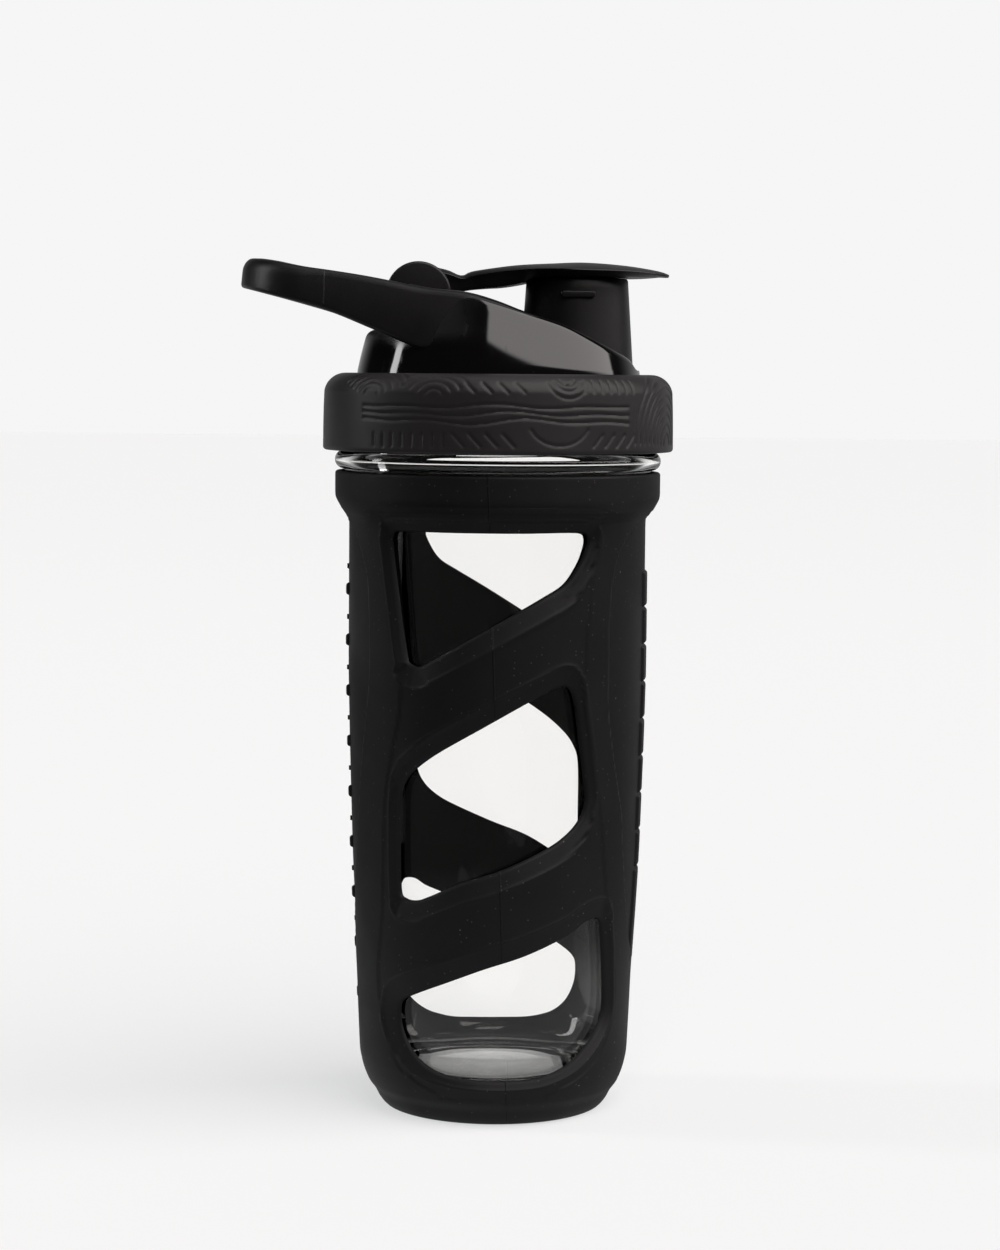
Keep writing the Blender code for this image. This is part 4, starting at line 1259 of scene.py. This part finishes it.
def build_cap():
    loops = []
    stations = np.concatenate([np.linspace(-19, 46, 66), [46.8, 47.5, 48.0, 48.25]])
    for x in stations:
        half = float(curve_value(CAP_WIDTH, x)) if x < 47 else 6.4 * math.sqrt(max(0.02, (48.4 - x) / 1.4))
        top = float(curve_value(CAP_TOP, x))
        edge = float(curve_value(CAP_EDGE, x))
        under = float(curve_value(CAP_UNDER, x))
        flare = float(ease((x - 1) / 12))
        section = []
        for t in np.linspace(0, 1, 12):
            bend = t ** (2.6 - 0.6 * flare)
            section.append((t * half, top - (top - edge) * bend))
        section.append((half + 0.08, edge - 0.2))
        inset = half - 0.6 - 2.2 * flare * min(1, half / 12)
        section.append((half - 0.1 - 0.3 * flare, edge - 0.55))
        section.append((half - 0.25 * flare - (half - inset) * 0.6, edge - (edge - under) * 0.72))
        section.append((inset, under + 0.15))
        section.append((inset - 0.5, under))
        section.append((max(0.0, inset - 3.0), under))
        right = [(x, y, z) for y, z in section]
        left = [(x, -y, z) for y, z in section[:0:-1]]
        loops.append(np.array(right + left))
    cap = skin("cap_cover", loops, 40)
    barrel = bar("barrel", BARREL_RADIUS, -EAR_INNER + 0.35, EAR_INNER - 0.35, 0.4, 72)
    cap = cut(cap, barrel, "UNION", 40)
    cap = cut(cap, bar("bore", PIN_RADIUS + 0.1, -20, 20), sharp=40)
    recess = [(0, 238.0), (14.9, 238.0), (15.4, 237.4), (15.5, 230), (0, 230)]
    return cut(cap, turned("recess", recess, 96, centre=(SPOUT_X, 0)), sharp=40)


place(build_cap(), "cap", "satin_black", SATIN, "flip_cap")

# ---------------------------------------------------------------- seals and grid
PLUG = [(0, 237.8), (11.7, 237.8), (12.0, 237.4), (12.0, 236.4), (11.7, 236.0), (12.0, 235.4),
        (11.8, 234.7), (11.2, 234.1), (10.7, 234.1), (10.2, 234.7), (10.0, 236.2), (0, 236.2)]
place(turned("plug_seal", PLUG, 96, 40, (SPOUT_X, 0)), "cap", "seal_silicone", SEAL_RUBBER, "spout_plug")

GASKET = [(41.3, 206.1), (45.2, 206.2), (45.7, 205.9), (45.7, 205.3), (45.2, 204.8), (44.0, 204.75),
          (43.6, 205.1), (43.2, 204.75), (41.6, 204.75), (41.1, 205.1), (41.1, 205.8)]
place(turned("gasket_ring", GASKET, 128, 50), "seal", "seal_silicone", SEAL_RUBBER, "lid_gasket")

GRID_Z = 193.2
GRID_PITCH = 7.4
GRID_HOLE = 2.75


def build_grid():
    profile = [
        (0, GRID_Z + 1.6), (35.0, GRID_Z + 1.6), (35.6, GRID_Z + 2.2), (36.1, 201.5), (36.5, 202.0),
        (37.3, 202.0), (37.9, 201.4), (37.9, 196.1), (38.3, 195.7), (39.7, 195.7), (40.2, 195.2),
        (40.2, GRID_Z + 0.5), (39.7, GRID_Z), (0, GRID_Z),
    ]
    grid = turned("mixing_grid", profile, 144, 35)
    bm = bmesh.new()
    reach = 34.0
    hole = GRID_HOLE * MM
    sixth = Matrix.Rotation(math.pi / 6, 4, "Z")
    for row in range(-6, 7):
        for column in range(-6, 7):
            x = GRID_PITCH * (column + 0.5 * (row % 2))
            y = GRID_PITCH * row * math.sqrt(3) / 2
            if math.hypot(x, y) + GRID_HOLE > reach:
                continue
            spot = Matrix.Translation(Vector((x, y, GRID_Z + 0.8)) * MM) @ sixth
            bmesh.ops.create_cone(
                bm, cap_ends=True, segments=6, radius1=hole, radius2=hole, depth=6 * MM, matrix=spot
            )
    mesh = bpy.data.meshes.new("holes")
    bm.to_mesh(mesh)
    bm.free()
    return cut(grid, new_object("holes", mesh), sharp=35)


place(build_grid(), "grid", "satin_black", SATIN, "strainer")


# ---------------------------------------------------------------- stage, lights and camera
PAPER = 0.92                # brightness of the paper sweep as the camera sees it
GLASS_LOSS = 0.11           # what the glass takes from the paper's light and is given back
FLOOR_SIZE = 9              # half the floor's width, in metres
FLOOR_PAPER = 0.42          # the floor's paleness as it is looked at
FLOOR_BOUNCE = 0.09         # the floor's paleness as it lights the bottle
KEY_LIGHT = 2.4             # brightness of the big soft panel, above and to the right of the camera
KEY_ACROSS = (-0.19, 1.88, 0.03)        # its first and last azimuth and the softness of its edges, in radians
KEY_UP = (0.511, 1.55, 0.015)           # the same for its height over the horizon
STRIP_LIGHT = 6.0           # brightness of the narrow panel on the left
STRIP_ACROSS = (-1.74, -1.61, 0.01)
STRIP_UP = (0.03, 0.85, 0.05)
LENS = 86.4                 # focal length in millimetres, on a sensor 36 wide
CAMERA_PLACE = (0.0010, -0.860, 0.211)
CAMERA_DOWN = 4.82          # degrees below the horizon that the camera looks
CAMERA_ROLL = 0.47          # degrees


def sight(nodes, first_bounce):
    """Masks for the light that objects receive, the view through the glass, and what the glass mirrors."""
    path = nodes.add("ShaderNodeLightPath")
    bounces = nodes.math("SUBTRACT", path.outputs["Ray Depth"], path.outputs["Transmission Depth"])
    early = nodes.math("LESS_THAN", bounces, first_bounce)
    through = nodes.math("MULTIPLY", path.outputs["Is Transmission Ray"], early)
    mirrored = nodes.math("SUBTRACT", path.outputs["Is Transmission Ray"], through)
    seen = nodes.math("MAXIMUM", path.outputs["Is Camera Ray"], through)
    return nodes.math("SUBTRACT", 1.0, seen), through, mirrored


def blend(nodes, factor, first, second):
    """The first value where the factor is 0 and the second where it is 1."""
    rise = nodes.math("SUBTRACT", second, first)
    return nodes.math("MULTIPLY_ADD", factor, rise, first)


def build_floor():
    mesh = bpy.data.meshes.new("floor")
    corners = [(x * FLOOR_SIZE, y * FLOOR_SIZE, -0.0002) for x, y in ((-1, -1), (1, -1), (1, 1), (-1, 1))]
    mesh.from_pydata(corners, [], [(0, 1, 2, 3)])
    floor = new_object("floor", mesh)
    sockets = {"Specular_IOR_Level": 0.0, "Emission_Color": (0.99, 1.0, 1.006, 1)}
    nodes = Nodes("floor_paper", (FLOOR_PAPER,) * 3, 1.0, **sockets)
    fibre = nodes.ramp(nodes.noise(900, 3), 0.3, 0.7, 0.595, 0.603)
    y = nodes.parts(nodes.place)[1]
    distance = nodes.add("ShaderNodeVectorMath", {0: nodes.place}, operation="LENGTH").outputs["Value"]
    near = nodes.ramp(distance, 0.08, 0.36, 0.36, 0.01)
    bounce = nodes.math("ADD", near, nodes.ramp(y, 0.0, 0.6, 0.0, 0.26))
    unseen, through, _ = sight(nodes, 0.5)
    fibre = nodes.math("MULTIPLY_ADD", through, GLASS_LOSS, fibre)
    nodes.link(nodes.mix(unseen, (FLOOR_PAPER,) * 3, (FLOOR_BOUNCE,) * 3), "Base Color")
    nodes.link(blend(nodes, unseen, fibre, bounce), "Emission Strength")
    mesh.materials.append(nodes.material)


def between(nodes, value, low, high, edge):
    """1 between two limits, with soft edges."""
    rise = nodes.ramp(value, low - edge, low + edge)
    return nodes.math("MULTIPLY", rise, nodes.ramp(value, high - edge, high + edge, 1.0, 0.0))


def panel(nodes, across, up):
    """1 on a soft panel. Each direction is given as (value, (low, high, edge))."""
    spans = [between(nodes, value, *limits) for value, limits in (across, up)]
    return nodes.math("MULTIPLY", *spans)


def build_world():
    """A bright sweep behind the bottle, a dark studio in front of it, and two soft panels."""
    world = bpy.data.worlds.new("studio")
    bpy.context.scene.world = world
    world.use_nodes = True
    nodes = Tree(world.node_tree)
    background = nodes.tree.nodes["Background"]
    x, y, z = nodes.parts(nodes.add("ShaderNodeTexCoord").outputs["Generated"])
    azimuth = nodes.math("ARCTAN2", x, nodes.math("MULTIPLY", y, -1.0))
    lift = nodes.math("ARCSINE", z)
    above_edge = nodes.math("MULTIPLY_ADD", azimuth, 0.19, lift)
    key = panel(nodes, (azimuth, KEY_ACROSS), (above_edge, KEY_UP))
    strip = panel(nodes, (azimuth, STRIP_ACROSS), (lift, STRIP_UP))
    sweep = nodes.ramp(nodes.math("MULTIPLY_ADD", x, 0.15, y), 0.55, 1.0, 0.012, 0.42)
    sweep = nodes.math("MULTIPLY", sweep, nodes.ramp(z, 0.05, 0.6, 1.0, 0.25))
    light = nodes.math("ADD", sweep, nodes.math("MULTIPLY", key, KEY_LIGHT))
    light = nodes.math("ADD", light, nodes.math("MULTIPLY", strip, STRIP_LIGHT))
    unseen, through, mirrored = sight(nodes, 1.5)
    tint = nodes.mix(nodes.math("MULTIPLY", key, unseen), (1, 1, 1), (1, 0.945, 0.93))
    nodes.tree.links.new(tint, background.inputs["Color"])
    light = nodes.math("MULTIPLY_ADD", mirrored, nodes.ramp(y, 0.5, 0.9, 0.0, 0.8), light)
    paper = nodes.math("MULTIPLY_ADD", through, GLASS_LOSS, PAPER)
    nodes.tree.links.new(blend(nodes, unseen, paper, light), background.inputs["Strength"])


def build_overhead():
    """A broad, weak lamp high above, that draws the edges of the upper faces."""
    light = bpy.data.lights.new("overhead", "AREA")
    light.shape = "RECTANGLE"
    light.size = 2.4
    light.size_y = 1.6
    light.energy = 6
    lamp = new_object("overhead", light)
    lamp.location = (0, 0.5, 3.0)
    lamp.rotation_euler = (math.radians(-9), 0, 0)


def build_camera():
    data = bpy.data.cameras.new("camera")
    data.lens = LENS
    data.sensor_width = 36
    camera = new_object("camera", data)
    camera.location = CAMERA_PLACE
    pitch = Matrix.Rotation(math.radians(90 - CAMERA_DOWN), 3, "X")
    roll = Matrix.Rotation(math.radians(CAMERA_ROLL), 3, "Z")
    camera.rotation_euler = (pitch @ roll).to_euler()
    bpy.context.scene.camera = camera


build_floor()
build_world()
build_overhead()
build_camera()
bpy.context.scene.view_settings.view_transform = "Standard"
